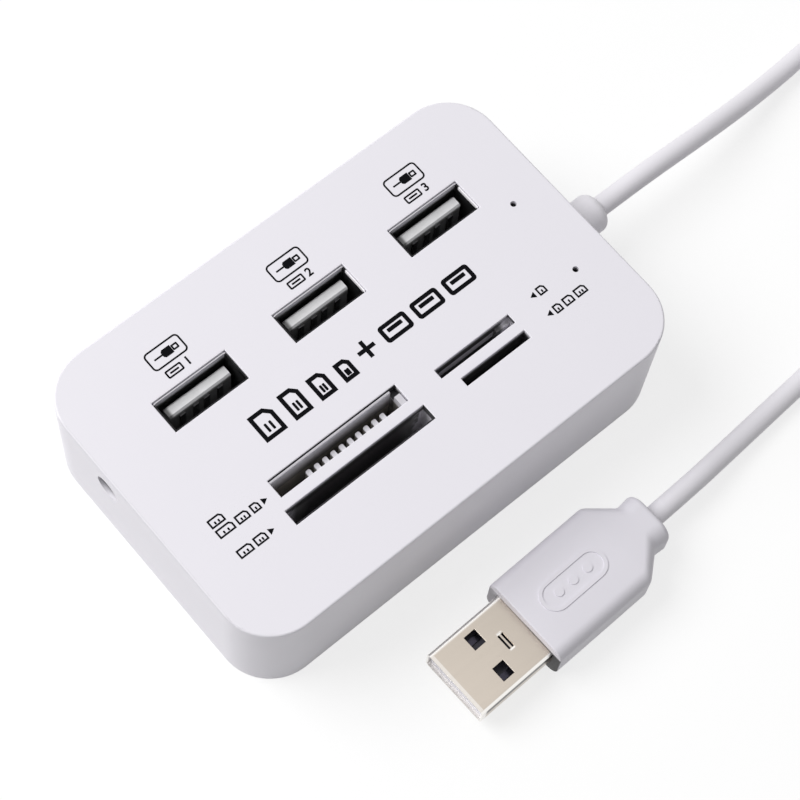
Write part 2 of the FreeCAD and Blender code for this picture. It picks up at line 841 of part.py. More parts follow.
def make_power_jack():
    """Raised barrel jack behind the hole in the end wall, with its centre pin."""
    back = -inner_wall_x
    jack = body("jack_body")
    outline = sketch(jack, "outline", across=size.jack_body_length / 2)
    draw_rectangle(outline, size.jack_body_length, size.jack_body_width)
    pad(jack, outline, inner_height)
    bore = sketch(jack, "bore", "YZ_Plane", up=size.jack_z - board_top)
    draw_circle(bore, size.jack_bore)
    pocket(jack, bore, size.jack_depth, reverse=True)
    place(jack, back, size.jack_y, board_top)

    pin = body("jack_pin")
    shaft = sketch(pin, "shaft", "YZ_Plane", up=size.jack_z - board_top, lift=size.jack_depth)
    draw_circle(shaft, size.jack_pin_diameter)
    pad(pin, shaft, size.jack_pin_length, reverse=True)
    round_edges(
        pin, "nose", size.jack_pin_diameter * 0.35,
        lambda edge: near(edge.BoundBox.XMax, (size.jack_depth - size.jack_pin_length).value),
    )
    place(pin, back, size.jack_y, board_top)


def make_board_components():
    """Controller chips, clock crystal and smoothing capacitors on the board."""
    chips = (
        ("hub_chip", size.hub_chip_length, size.hub_chip_width, size.hub_chip_x),
        ("reader_chip", size.reader_chip_side, size.reader_chip_side, size.reader_chip_x),
    )
    for label, length, width, x in chips:
        keep(label, block(label, length, width, size.chip_height, x, size.chip_row_y, board_top))

    crystal = body("crystal")
    can = sketch(crystal, "can")
    draw_rectangle(can, size.crystal_length, size.crystal_width)
    pad(crystal, can, size.crystal_height)
    round_edges(crystal, "ends", size.crystal_width * FULL_ROUNDING, lambda edge: runs_along(edge, 2))
    place(crystal, size.crystal_end_inset - size.hub_length / 2, size.crystal_y, board_top)

    capacitors = []
    for index in range(2):
        can = document.addObject("Part::Cylinder", "capacitor")
        bind(can, "Radius", size.capacitor_diameter / 2)
        bind(can, "Height", size.capacitor_height)
        can_x = size.hub_length / 2 - size.capacitor_end_inset - size.capacitor_pitch * index
        place(can, can_x, size.chip_row_y, board_top)
        capacitors.append(can)
    group("capacitors", capacitors)


def make_grommet():
    """Strain relief moulded round the cable: a flange inside the wall and a round-ended sleeve outside."""
    grommet = body("cable_grommet")
    inner = inner_wall_x - size.flange_thickness
    flange = sketch(grommet, "flange", "YZ_Plane", up=size.cable_exit_z, lift=inner)
    draw_circle(flange, size.flange_diameter)
    pad(grommet, flange, size.flange_thickness)
    sleeve = sketch(grommet, "sleeve", "YZ_Plane", up=size.cable_exit_z, lift=inner_wall_x)
    draw_circle(sleeve, size.grommet_diameter)
    pad(grommet, sleeve, size.wall + size.grommet_length)
    tip = (size.hub_length / 2 + size.grommet_length).value
    round_edges(grommet, "end", size.grommet_end_radius, lambda edge: near(edge.BoundBox.XMin, tip))


def tube_along(points, diameter):
    """Round tube along straight runs joined by tangent arcs, and the radii of those arcs."""
    edges = []
    radii = []
    start = points[0]
    for before, corner, after in zip(points, points[1:], points[2:]):
        back = before - corner
        ahead = after - corner
        half_turn = (math.pi - back.getAngle(ahead)) / 2
        reach = ARC_SHARE * min(back.Length, ahead.Length)
        radius = reach / math.tan(half_turn)
        inward = (Vector(back).normalize() + Vector(ahead).normalize()).normalize()
        middle = corner + inward * (radius / math.cos(half_turn) - radius)
        entry = corner + Vector(back).normalize() * reach
        leave = corner + Vector(ahead).normalize() * reach
        edges.append(Part.LineSegment(start, entry).toShape())
        edges.append(Part.Arc(entry, middle, leave).toShape())
        radii.append(radius)
        start = leave
    edges.append(Part.LineSegment(start, points[-1]).toShape())
    path = Part.Wire(edges)
    ring = Part.Wire(Part.makeCircle(diameter / 2, points[0], points[1] - points[0]))
    tube = path.makePipeShell([ring], True, False)
    expected = math.pi * diameter ** 2 / 4 * path.Length
    if abs(tube.Volume / expected - 1) > 0.01:
        raise RuntimeError(f"tube volume {tube.Volume} instead of {expected}")
    return tube, radii, path.Length


def make_feature(label, shape):
    """Sub-part whose shape is set directly."""
    item = document.addObject("Part::Feature", label)
    item.Shape = shape
    return keep(label, item)


def make_cable_cores():
    """Four thin insulated cores from the grommet down to the board, each with one square bend."""
    start_x = (inner_wall_x - size.flange_thickness).value
    exit_z = size.cable_exit_z.value
    radius = size.core_diameter.value / 2
    bend_x = start_x - size.core_reach.value
    cores = []
    for index in range(CORE_COUNT):
        y = (index - (CORE_COUNT - 1) / 2) * size.core_pitch.value
        start = Vector(start_x, y, exit_z)
        route = [start, Vector(bend_x, y, exit_z), Vector(bend_x, y, board_top.value)]
        path = Part.makePolygon(route)
        ring = Part.Wire(Part.makeCircle(radius, start, Vector(1, 0, 0)))
        cores.append(path.makePipeShell([ring], True, False, 1))
    make_feature("cable_cores", Part.makeCompound(cores))


def coil_section(grow):
    """Straight-sided outline round two turns side by side and one on top, at the east side of the coil."""
    half = size.cable_diameter.value / 2
    middle_x = coil_x.value + size.coil_radius.value
    low = half + size.tie_thickness.value
    reach = half + grow
    slant = reach * math.tan(math.pi / 8)
    crown = low + size.coil_layer.value
    right_side = [
        (half + slant, low - reach),
        (half + reach, low - slant),
        (half + reach, low + slant),
        (reach, crown + slant),
        (slant, crown + reach),
    ]
    outline = right_side + [(-x, z) for x, z in reversed(right_side)]
    corners = [Vector(middle_x + x, size.coil_y.value, z) for x, z in outline]
    return Part.Face(Part.makePolygon(corners + corners[:1]))


def cord_route(start, leaving, end, arriving, bends):
    """Points of a stretch of cable: straight off both ends, with bends at shares of the way between them.

    Each bend is its share of the way, its shift along Y and its height.
    """
    first = start + leaving * size.cable_straight.value
    last = end - arriving * (size.cable_straight.value * 0.8)
    between = []
    for share, shift, height in bends:
        point = start + (end - start) * share
        between.append(Vector(point.x, point.y + shift, height))
    return [start, first] + between + [last, end]


def make_cable():
    """The cable in three stretches, lead, coil and tail, with the tie round the coil."""
    diameter = size.cable_diameter.value
    half = diameter / 2
    along_x = Vector(1, 0, 0)
    exit_point = Vector((size.hub_length / 2 + size.grommet_length).value, 0, size.cable_exit_z.value)
    stub_x = coil_x.value - size.coil_stub.value
    lead_z = half + size.tie_thickness.value
    lead_end = Vector(stub_x, size.coil_y.value + size.coil_radius.value + half, lead_z)
    tail_end = Vector(stub_x, size.coil_y.value - size.coil_radius.value, lead_z + size.coil_layer.value)
    angle = math.radians(size.plug_angle.value)
    plug_axis = Vector(math.cos(angle), math.sin(angle), 0)
    plug_length = (size.grip_length + size.shoulder_length + size.collar_length).value
    plug_front = Vector(size.plug_x.value, size.plug_y.value, size.grip_height.value / 2)
    plug_end = plug_front + plug_axis * plug_length

    lead_bends = [(0.37, -0.8, 7.6), (0.58, -0.6, 4.6), (0.77, -0.1, lead_z + 0.3)]
    floor = half + 0.02
    tail_bends = [
        (0.22, 0.5, floor + 0.7),
        (0.35, 0.95, floor),
        (0.49, 1.3, floor + 0.01),
        (0.64, 1.35, floor + 0.1),
        (0.79, 0.9, floor + 1.9),
    ]
    routes = (
        ("cable_lead", cord_route(exit_point, along_x, lead_end, along_x, lead_bends)),
        ("cable_tail", cord_route(plug_end, plug_axis, tail_end, along_x, tail_bends)),
    )
    for label, route in routes:
        tube, radii, length = tube_along(route, diameter)
        make_feature(label, tube)
        print(label, "length", round(length, 1), "radii", [round(radius, 1) for radius in radii])

    axis = Vector(coil_x.value, size.coil_y.value, 0)
    ring = coil_section(0).revolve(axis, Vector(0, 0, 1), 360)
    stub = size.coil_stub.value
    lead_stub = Part.makeCylinder(half, stub, lead_end, along_x)
    tail_stub = Part.makeCylinder(half, stub, tail_end, along_x)
    coil = ring.fuse([lead_stub, tail_stub])
    make_feature("cable_coil", coil)

    tie_width = size.tie_width.value
    band = coil_section(size.tie_thickness.value).extrude(Vector(0, tie_width, 0))
    band.translate(Vector(0, -tie_width / 2, 0))
    make_feature("coil_tie", band.cut(coil))


def make_plug():
    """Plug on the cable's end: moulded grip, metal shell, insulator and contacts."""
    grip = body("plug_grip")
    middle = size.grip_height / 2
    shoulder = size.grip_length + size.shoulder_length
    end = shoulder + size.collar_length
    section = sketch(grip, "section", "YZ_Plane", up=middle)
    draw_rounded_rectangle(section, size.grip_width, size.grip_height, size.grip_edge_radius)
    pad(grip, section, size.grip_length)
    round_edges(
        grip, "front", size.grip_front_radius, lambda edge: near(edge.BoundBox.XMax, 0)
    )
    wide = sketch(grip, "wide", "YZ_Plane", up=middle, lift=size.grip_length)
    draw_rounded_rectangle(wide, size.grip_width, size.grip_height, size.grip_edge_radius)
    narrow = sketch(grip, "narrow", "YZ_Plane", up=middle, lift=shoulder)
    draw_rounded_rectangle(narrow, size.neck_width, size.grip_height, size.collar_edge_radius)
    rear = sketch(grip, "rear", "YZ_Plane", up=middle, lift=end)
    draw_rounded_rectangle(rear, size.collar_width, size.grip_height, size.collar_edge_radius)
    shoulders = grip.newObject("PartDesign::AdditiveLoft", "plug_grip_shoulders")
    shoulders.Profile = wide
    shoulders.Sections = [narrow, rear]
    shoulders.Ruled = True
    grip.Tip = shoulders
    document.recompute()
    round_edges(
        grip, "collar_end", size.collar_end_radius, lambda edge: near(edge.BoundBox.XMin, end.value)
    )
    seat = sketch(grip, "seat", "YZ_Plane", up=middle)
    draw_rectangle(
        seat, size.shell_width + 2 * size.shell_clearance, size.shell_height + 2 * size.shell_clearance
    )
    pocket(grip, seat, size.shell_seat, reverse=True)
    place(grip, size.plug_x, size.plug_y, 0, size.plug_angle)

    shell = body("plug_shell")
    tube = sketch(shell, "tube", "YZ_Plane", up=middle, lift=-size.shell_length)
    draw_rectangle(tube, size.shell_width, size.shell_height)
    shell_total = size.shell_length + size.shell_seat
    pad(shell, tube, shell_total)
    round_edges(shell, "edges", size.shell_edge_radius, lambda edge: runs_along(edge, 0))
    inside = sketch(shell, "inside", "YZ_Plane", up=middle, lift=-size.shell_length)
    inner_width = size.shell_width - 2 * size.shell_sheet
    inner_shell_height = size.shell_height - 2 * size.shell_sheet
    draw_rounded_rectangle(
        inside, inner_width, inner_shell_height, size.shell_edge_radius - size.shell_sheet
    )
    pocket(shell, inside, shell_total, reverse=True)
    shell_top = (size.grip_height + size.shell_height) / 2
    hole_middle = size.latch_hole_from_tip - size.shell_length
    for side in (-0.5, 0.5):
        hole = sketch(
            shell, "latch_hole",
            across=hole_middle,
            up=size.latch_hole_spread * side,
            lift=shell_top,
        )
        draw_rectangle(hole, size.latch_hole_length, size.latch_hole_width)
        pocket(shell, hole, size.shell_height)
    hole_low = (hole_middle - size.latch_hole_length / 2).value
    hole_high = (hole_middle + size.latch_hole_length / 2).value
    round_edges(
        shell, "hole_edges", size.latch_hole_edge,
        lambda edge: lies_at_height(edge, shell_top.value)
        and edge.BoundBox.XMin > hole_low - SAME_PLACE
        and edge.BoundBox.XMax < hole_high + SAME_PLACE,
    )
    dimple_middle = size.dimple_from_tip - size.shell_length
    dimple = sketch(shell, "dimple", across=dimple_middle, lift=shell_top)
    draw_rounded_rectangle(dimple, size.dimple_length, size.dimple_width, size.dimple_length * FULL_ROUNDING)
    pocket(shell, dimple, size.dimple_depth)
    for side in (-0.5, 0.5):
        slit = sketch(
            shell, "dimple_slit",
            across=dimple_middle + size.dimple_slot_spread * side,
            lift=shell_top,
        )
        draw_rectangle(slit, size.dimple_slot_length, size.dimple_slot_width)
        pocket(shell, slit, size.shell_sheet)
    place(shell, size.plug_x, size.plug_y, 0, size.plug_angle)

    insulator = body("plug_insulator")
    insulator_bottom = (size.grip_height - size.shell_height) / 2 + size.shell_sheet + size.shell_clearance
    insulator_length = shell_total - size.insulator_recess
    profile = sketch(
        insulator, "profile", "YZ_Plane",
        up=insulator_bottom + size.insulator_height / 2,
        lift=size.insulator_recess - size.shell_length,
    )
    draw_rectangle(profile, inner_width - 2 * size.shell_clearance, size.insulator_height)
    pad(insulator, profile, insulator_length)
    round_edges(
        insulator, "edges", size.shell_edge_radius - size.shell_sheet,
        lambda edge: runs_along(edge, 0) and near(edge.BoundBox.ZMin, insulator_bottom.value),
    )
    place(insulator, size.plug_x, size.plug_y, 0, size.plug_angle)

    contacts = []
    for spread in (size.contact_outer_spread, size.contact_inner_spread):
        for side in (-0.5, 0.5):
            contact = block(
                "plug_contact", size.plug_contact_length, size.contact_width, size.contact_thickness,
                size.insulator_recess - size.shell_length + size.contact_tip_gap
                + size.plug_contact_length / 2,
                spread * side, insulator_bottom + size.insulator_height,
            )
            contacts.append(contact)
    contact_group = group("plug_contacts", contacts)
    place(contact_group, size.plug_x, size.plug_y, 0, size.plug_angle)


def check_and_write():
    """Stops at any failed object or bad shape, then writes each sub-part to its own file."""
    document.recompute()
    failed = [item.Name for item in document.Objects if {"Invalid", "Error"} & set(item.State)]
    if failed:
        raise RuntimeError(f"failed objects: {failed}")
    for label, item in parts.items():
        if item.Shape.isNull() or not item.Shape.isValid() or not item.Shape.Solids:
            raise RuntimeError(f"{label} has no valid solid")
    os.makedirs("parts", exist_ok=True)
    for label, item in parts.items():
        item.Shape.exportStep(f"parts/{label}.step")
        print(label, len(item.Shape.Solids), "solids", round(item.Shape.Volume, 1), "mm3")


make_top_shell()
make_base_plate()
make_base_screws()
make_main_board()
for port_index, port_x in enumerate(port_places, start=1):
    make_port(port_index, port_x)
make_card_sockets()
make_lamp("link_lamp", size.link_lamp_y)
make_lamp("card_lamp", size.card_lamp_y)
make_power_jack()
make_board_components()
make_grommet()
make_cable_cores()
make_cable()
make_plug()
check_and_write()
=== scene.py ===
"""Looks of a white hub with ports and card slots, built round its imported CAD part.

Lengths are in metres in the part's own frame: X along the case towards the cable,
Y towards the row of ports and Z up from the surface that the case stands on.
"""

import math

import bmesh
import bpy
from bpy.props import FloatProperty, FloatVectorProperty, IntProperty, PointerProperty
from mathutils import Matrix, Vector


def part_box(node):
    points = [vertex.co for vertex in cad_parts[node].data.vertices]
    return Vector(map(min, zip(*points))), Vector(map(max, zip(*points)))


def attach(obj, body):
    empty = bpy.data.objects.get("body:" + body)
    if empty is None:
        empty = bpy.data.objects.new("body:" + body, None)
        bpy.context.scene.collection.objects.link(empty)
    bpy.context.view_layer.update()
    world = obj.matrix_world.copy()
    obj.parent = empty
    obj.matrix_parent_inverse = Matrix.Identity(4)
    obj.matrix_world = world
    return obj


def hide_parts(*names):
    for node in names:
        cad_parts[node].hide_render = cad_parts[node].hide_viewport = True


bl_info = {
    "name": "Hub with card slots",
    "version": (1, 0, 0),
    "blender": (4, 5, 0),
    "location": "3D View > Sidebar > Hub",
    "description": "Finishes, print, cable and stage of a small desk hub",
    "category": "Object",
}

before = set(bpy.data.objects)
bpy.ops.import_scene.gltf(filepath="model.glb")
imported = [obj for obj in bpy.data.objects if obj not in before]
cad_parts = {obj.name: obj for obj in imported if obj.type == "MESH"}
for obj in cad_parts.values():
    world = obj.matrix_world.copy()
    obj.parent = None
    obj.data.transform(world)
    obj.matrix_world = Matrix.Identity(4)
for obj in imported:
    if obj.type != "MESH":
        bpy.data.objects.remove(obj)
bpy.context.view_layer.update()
MM = 0.001
PORTS = (1, 2, 3)
# Lowest value of a shift of the view in the settings
LEAST_SLIDE = -1.0

# Boxes of the pieces that the looks are fitted to
case_low, case_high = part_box("top_shell")
case_top = case_high.z
port_low, port_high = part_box("port_shell_1")
jack_low, jack_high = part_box("jack_pin")
tongue_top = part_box("port_tongue_1")[1].z
plug_shell_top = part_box("plug_shell")[1].z
grommet_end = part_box("cable_grommet")[1].x
liner_low, liner_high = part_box("stick_liner")
large_low, large_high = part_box("large_socket")
flat_low, flat_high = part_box("flat_socket")
switch_low, switch_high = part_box("flat_switch")
coil_low, coil_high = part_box("cable_coil")


def colour_setting(name, description, default):
    """A colour in the settings."""
    return FloatVectorProperty(
        name=name, description=description, subtype="COLOR", size=3, min=0, max=1, default=default
    )


def length_setting(name, description, millimetres, lowest=0):
    """A length in the settings."""
    return FloatProperty(
        name=name, description=description, unit="LENGTH", default=millimetres * MM, min=lowest
    )


def angle_setting(name, description, degrees):
    """An angle in the settings."""
    return FloatProperty(name=name, description=description, subtype="ANGLE", default=math.radians(degrees))


def plain_setting(name, description, default):
    """A number without a unit in the settings."""
    return FloatProperty(name=name, description=description, default=default)


class CaseSettings(bpy.types.PropertyGroup):
    """Colours of the case and of what shows in its openings."""

    shell_colour: colour_setting("Case", "Moulded white of the cover and base", (0.86, 0.84, 0.895))
    dark_colour: colour_setting("Sockets", "Black plastic of the sockets", (0.014, 0.013, 0.018))
    # Painted light: grey that lifts the black sockets' walls below their rims
    grey_colour: colour_setting("Socket walls", "Painted light that greys the sockets' walls below their rims", (0.13, 0.122, 0.135))
    depth_colour: colour_setting("Lining depth", "Socket under the lining", (0.5, 0.47, 0.44))
    tongue_colour: colour_setting("Tongues", "End faces of the port tongues", (0.87, 0.87, 0.88))
    steel_colour: colour_setting("Port shells", "Tinned sheet of the ports", (0.24, 0.24, 0.25))
    gold_colour: colour_setting("Contacts", "Gold flash of the contacts", (0.83, 0.61, 0.28))
    board_colour: colour_setting("Board", "Solder mask of the circuit board", (0.02, 0.12, 0.05))


class PrintSettings(bpy.types.PropertyGroup):
    """Ink and sizes of the marks on the top face."""

    ink_colour: colour_setting("Ink", "Pad-printed black", (0.004, 0.004, 0.005))
    ink_thickness: length_setting("Ink thickness", "Height of the print over the face", 0.02)
    row_height: length_setting("Row height", "Height of the row of pictograms", 4.8)
    row_line: length_setting("Row line", "Line width of the row of pictograms", 0.68)
    small_line: length_setting("Small line", "Line width of the small marks", 0.28)


class CableSettings(bpy.types.PropertyGroup):
    """Sizes and colours of the cable and its plug."""

    diameter: length_setting("Diameter", "Outside of the cable", 3.4)
    coil_radius: length_setting("Coil radius", "Radius of the middle of the coil", 20.4)
    points_per_turn: IntProperty(
        name="Points per turn", description="Control points in one turn of the coil", default=16, min=12
    )
    sheath_colour: colour_setting("Sheath", "White sheath of the cable", (0.865, 0.845, 0.89))
    grip_colour: colour_setting("Grip", "Moulded white of the plug's grip", (0.775, 0.755, 0.81))
    plate_colour: colour_setting("Plug shell", "Warm plating of the plug's shell", (0.61, 0.545, 0.475))
    # Painted highlight on the plug's shell: its edges, its mouth and the dimple's ends
    worn_colour: colour_setting("Edge highlights", "Plating rubbed bright along the edges", (0.93, 0.91, 0.88))


class StageSettings(bpy.types.PropertyGroup):
    """Camera and light."""

    azimuth: angle_setting("Azimuth", "Camera's turn about the vertical", -47.884)
    elevation: angle_setting("Elevation", "Camera's height over the horizon", 66.839)
    roll: angle_setting("Roll", "Camera's turn about its own axis", 8.133)
    distance: length_setting("Distance", "From the camera to the case's plane", 356.21)
    slide_right: length_setting("Slide right", "Case's shift to the right in the view", -6.503, LEAST_SLIDE)
    slide_up: length_setting("Slide up", "Case's shift upwards in the view", -1.603, LEAST_SLIDE)
    lens: plain_setting("Lens", "Focal length in millimetres", 102.82)
    sky_strength: plain_setting("Sky", "Even light from all round", 0.33)
    key_power: plain_setting("Key light", "Power of the large soft lamp", 13.0)
    floor_glow: plain_setting("Floor glow", "White that the camera sees in the floor", 0.75)
    floor_shade: plain_setting("Floor shade", "Share of the floor that takes shadow", 0.27)


SETTINGS = {
    "hub_case": CaseSettings,
    "hub_print": PrintSettings,
    "hub_cable": CableSettings,
    "hub_stage": StageSettings,
}


class Flow:
    """A shader socket that takes part in Python arithmetic."""

    def __init__(self, nodes, socket):
        self.nodes = nodes
        self.socket = socket

    def math(self, operation, first, second):
        """A Math node on two values."""
        return self.nodes.node("ShaderNodeMath", {"operation": operation}, {0: first, 1: second})

    def __add__(self, other):
        return self.math("ADD", self, other)

    __radd__ = __add__

    def __sub__(self, other):
        return self.math("SUBTRACT", self, other)

    def __rsub__(self, other):
        return self.math("SUBTRACT", other, self)

    def __mul__(self, other):
        return self.math("MULTIPLY", self, other)

    __rmul__ = __mul__

    def __abs__(self):
        return self.math("ABSOLUTE", self, 0.0)

    def __or__(self, other):
        return self.math("MAXIMUM", self, other)

    def rise(self, low, high):
        """Smooth step from 0 at a low value to 1 at a high one."""
        inputs = {"Value": self, "From Min": low, "From Max": high}
        return self.nodes.node("ShaderNodeMapRange", {"interpolation_type": "SMOOTHSTEP"}, inputs, "Result")

    def between(self, low, high, soft):
        """One between two values, with soft ends outside them."""
        return self.rise(low - soft, low) * (1 - self.rise(high, high + soft))

    def step(self, origin, low, high):
        """Smooth step between two places, which are given in millimetres from an origin."""
        return self.rise(origin + low * MM, origin + high * MM)

    def band(self, origin, low, high, soft):
        """One between two places, which are given in millimetres from an origin."""
        return self.between(origin + low * MM, origin + high * MM, soft * MM)

    def mix(self, first, second):
        """First colour at 0 and second colour at 1."""
        inputs = {"Factor": self, 6: first, 7: second}
        return self.nodes.node("ShaderNodeMix", {"data_type": "RGBA"}, inputs, 2)

    def bump(self, strength, depth):
        """Normal that is tilted by this height."""
        inputs = {"Height": self, "Strength": strength, "Distance": depth}
        return self.nodes.node("ShaderNodeBump", {}, inputs, "Normal")


class Nodes:
    """A node tree that is written as expressions."""

    def __init__(self, tree):
        self.tree = tree

    def node(self, kind, settings=None, inputs=None, output=0):
        """Adds a node: its settings first, then the values or links of its sockets."""
        node = self.tree.nodes.new(kind)
        for name, value in (settings or {}).items():
            setattr(node, name, value)
        for name, value in (inputs or {}).items():
            self.feed(node.inputs[name], value)
        return Flow(self, node.outputs[output])

    def feed(self, socket, value):
        """Links a flow to a socket, or sets a plain value on it."""
        if isinstance(value, Flow):
            self.tree.links.new(value.socket, socket)
        elif socket.type == "RGBA":
            socket.default_value = (*value, 1)
        else:
            socket.default_value = value

    def place(self):
        """The piece's own coordinates in metres."""
        return self.node("ShaderNodeTexCoord", output="Object")

    def axis(self, name):
        """One of the piece's own coordinates in metres."""
        return self.node("ShaderNodeSeparateXYZ", {}, {"Vector": self.place()}, name)

    def axes(self):
        """All three of the piece's own coordinates in metres."""
        return [self.axis(name) for name in "XYZ"]

    def noise(self, scale, detail=2.0, where=None):
        """Soft random values from 0 to 1."""
        inputs = {"Vector": where or self.place(), "Scale": scale, "Detail": detail}
        return self.node("ShaderNodeTexNoise", {}, inputs, "Fac")

    def seen(self):
        """One for rays that show a surface to the camera, directly, mirrored or through a clear piece."""
        kinds = ("Is Camera Ray", "Is Glossy Ray", "Is Transmission Ray")
        camera, mirrored, through = [self.node("ShaderNodeLightPath", output=kind) for kind in kinds]
        return camera | mirrored | through


class Finish(Nodes):
    """A material with its surface shader."""

    def __init__(self, name):
        self.material = bpy.data.materials.new(name)
        self.material.use_nodes = True
        super().__init__(self.material.node_tree)
        self.surface = self.tree.nodes["Principled BSDF"]

    def set(self, values):
        """Sets sockets of the surface shader."""
        for name, value in values.items():
            self.feed(self.surface.inputs[name], value)
        return self.material

    def replace_surface(self, shader):
        """Puts another shader in the place of the surface shader."""
        self.feed(self.tree.nodes["Material Output"].inputs["Surface"], shader)
        self.tree.nodes.remove(self.surface)
        return self.material


def scaled(colour, share):
    """A colour made darker or lighter."""
    return tuple(min(1.0, part * share) for part in colour)


def shade(name, share=1.0):
    """A colour of the case's settings, made darker or lighter."""
    return scaled(getattr(bpy.context.scene.hub_case, f"{name}_colour"), share)


def untinted(finish, colour):
    """Leaves a colour as it is."""
    return colour


def moulded(name, colour, rough=0.42, grain=2600.0, grain_depth=0.02 * MM, tint=untinted):
    """Satin moulded plastic: faint flow clouds, fine spark-eroded grain and uneven gloss."""
    finish = Finish(name)
    clouded = finish.noise(38.0, 3.0).mix(scaled(colour, 0.975), colour)
    return finish.set({
        "Base Color": tint(finish, clouded),
        "Roughness": rough - 0.05 + finish.noise(240.0) * 0.1,
        "Normal": finish.noise(grain).bump(0.14, grain_depth),
        "Specular IOR Level": 0.35,
    })


def black_plastic(name, colour, tint=untinted):
    """Dense black socket plastic with a slight mould gloss and grey rub marks."""
    finish = Finish(name)
    gloss = finish.noise(700.0)
    marked = finish.noise(320.0, 3.0).rise(0.56, 0.78)
    black = marked.mix(scaled(colour, 0.8), scaled(colour, 2.6))
    return finish.set({
        "Base Color": tint(finish, black),
        "Roughness": 0.28 + gloss * 0.16,
        "Normal": finish.noise(2200.0).bump(0.1, 0.02 * MM),
    })


def plated(name, colour, rough, along, fine=5200.0, tint=untinted, painted_over=None):
    """Rolled sheet metal: streaks along the rolling direction in tone, gloss and relief.

    Where it is painted over, it has no metal gloss.
    """
    finish = Finish(name)
    scale = tuple(0.03 if axis == along else 1.0 for axis in range(3))
    rolled = finish.node("ShaderNodeMapping", {}, {"Vector": finish.place(), "Scale": scale})
    streaks = finish.noise(fine, 3.0, rolled)
    stained = finish.noise(120.0).mix(scaled(colour, 0.93), colour)
    return finish.set({
        "Base Color": tint(finish, stained),
        "Metallic": 1 - painted_over(finish) if painted_over else 1.0,
        "Roughness": rough - 0.05 + streaks * 0.12,
        "Normal": streaks.bump(0.12, 0.01 * MM),
    })


def gold_flash(name, colour, tint=untinted):
    """Thin gold on a stamped spring, duller in patches."""
    finish = Finish(name)
    patches = finish.noise(900.0)
    gold = patches.mix(scaled(colour, 0.8), colour)
    return finish.set({
        "Base Color": tint(finish, gold),
        "Metallic": 1.0,
        "Roughness": 0.2 + patches * 0.18,
    })


def sheathing(name, colour):
    """Extruded cable sheath: drawn lines and a soft, slightly greasy gloss."""
    finish = Finish(name)
    smears = finish.noise(90.0)
    return finish.set({
        "Base Color": smears.mix(scaled(colour, 0.96), colour),
        "Roughness": 0.4 + smears * 0.12,
        "Normal": finish.noise(1400.0).bump(0.1, 0.02 * MM),
        "Specular IOR Level": 0.4,
    })


def solder_mask(name, colour):
    """Circuit board: green mask over lighter tracks."""
    finish = Finish(name)
    inputs = {"Scale": 160.0, "Distortion": 3.0, "Detail": 1.0, "Detail Scale": 2.0}
    inputs["Vector"] = finish.place()
    bands = finish.node("ShaderNodeTexWave", {"bands_direction": "DIAGONAL"}, inputs, "Fac")
    tracks = bands.rise(0.7, 0.74)
    return finish.set({
        "Base Color": tracks.mix(colour, scaled(colour, 2.0)),
        "Roughness": 0.32 + finish.noise(300.0) * 0.1,
        "Normal": tracks.bump(0.3, 0.03 * MM),
        "Coat Weight": 0.3,
    })


def printed_ink(name, colour):
    """Pad print: dull black with a little grain."""
    finish = Finish(name)
    grain = finish.noise(4000.0)
    return finish.set({
        "Base Color": grain.mix(colour, scaled(colour, 2.0)),
        "Roughness": 0.7 + grain * 0.15,
        "Specular IOR Level": 0.02,
    })


def dark_lens(name):
    """Lamp lens, nearly black while the lamp is off."""
    finish = Finish(name)
    milk = finish.noise(1500.0)
    return finish.set({
        "Base Color": milk.mix((0.012, 0.013, 0.015), (0.03, 0.032, 0.035)),
        "Roughness": 0.14 + milk * 0.1,
    })


def chip_epoxy(name):
    """Chip body of black epoxy with a fine sandy face."""
    finish = Finish(name)
    sand = finish.noise(3600.0, 3.0)
    return finish.set({
        "Base Color": sand.mix((0.012, 0.012, 0.013), (0.03, 0.03, 0.032)),
        "Roughness": 0.5 + sand * 0.2,
        "Normal": sand.bump(0.3, 0.02 * MM),
    })


def dress(nodes, material):
    """Gives CAD nodes a material."""
    for name in nodes:
        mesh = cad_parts[name].data
        mesh.materials.clear()
        mesh.materials.append(material)


def placed(name, data):
    """Adds an object to the scene."""
    item = bpy.data.objects.new(name, data)
    bpy.context.scene.collection.objects.link(item)
    return item


def new_piece(name, data, material):
    """Adds a mesh or a curve to the scene as a piece that rides on the part."""
    piece = placed(name, data)
    data.materials.append(material)
    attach(piece, "root")
    return piece


# Plastic of a socket past each end of its slot
SOCKET_END_WALL = 1.2 * MM
# Tongue of a port, and the bore round the jack's pin
TONGUE_LENGTH = 11.3 * MM
JACK_BORE_ROOM = 2 * MM
# The openings of the top face lie within these distances from its middle
OPENINGS_REACH_X = 36 * MM
OPENINGS_REACH_Y = 21 * MM


def numbered(name):
    """Names of a piece that each port has."""
    return [f"{name}_{number}" for number in PORTS]


def pale_ends(finish):
    """One at the right end walls of the second and third port, short of their back corners."""
    x = finish.axis("X")
    ends = [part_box(name)[1].x for name in numbered("port_shell")[1:]]
    walls = sum(x.band(end, -0.25, 0.3, 0.06) for end in ends)
    return walls * finish.axis("Y").between(port_low.y, port_high.y - 1.1 * MM, 0.25 * MM)


def past_lining(finish):
    """One past the end of the lining's wall."""
    return finish.axis("X").step(liner_high.x, -1.25, -1.15)


def slot_end(x, high):
    """One at the right end of the slot over a socket."""
    return x.band(high.x - SOCKET_END_WALL, -0.1, 0.2, 0.1)


def jack_bore(x, y, z):
    """One in the bore of the jack, behind its mouth."""
    bore = x.band(case_low.x, 1.2, 3, 0.9)
    for value, low, high in ((y, jack_low.y, jack_high.y), (z, jack_low.z, jack_high.z)):
        bore = bore * value.between(low - JACK_BORE_ROOM, high + JACK_BORE_ROOM, 0.1 * MM)
    return bore


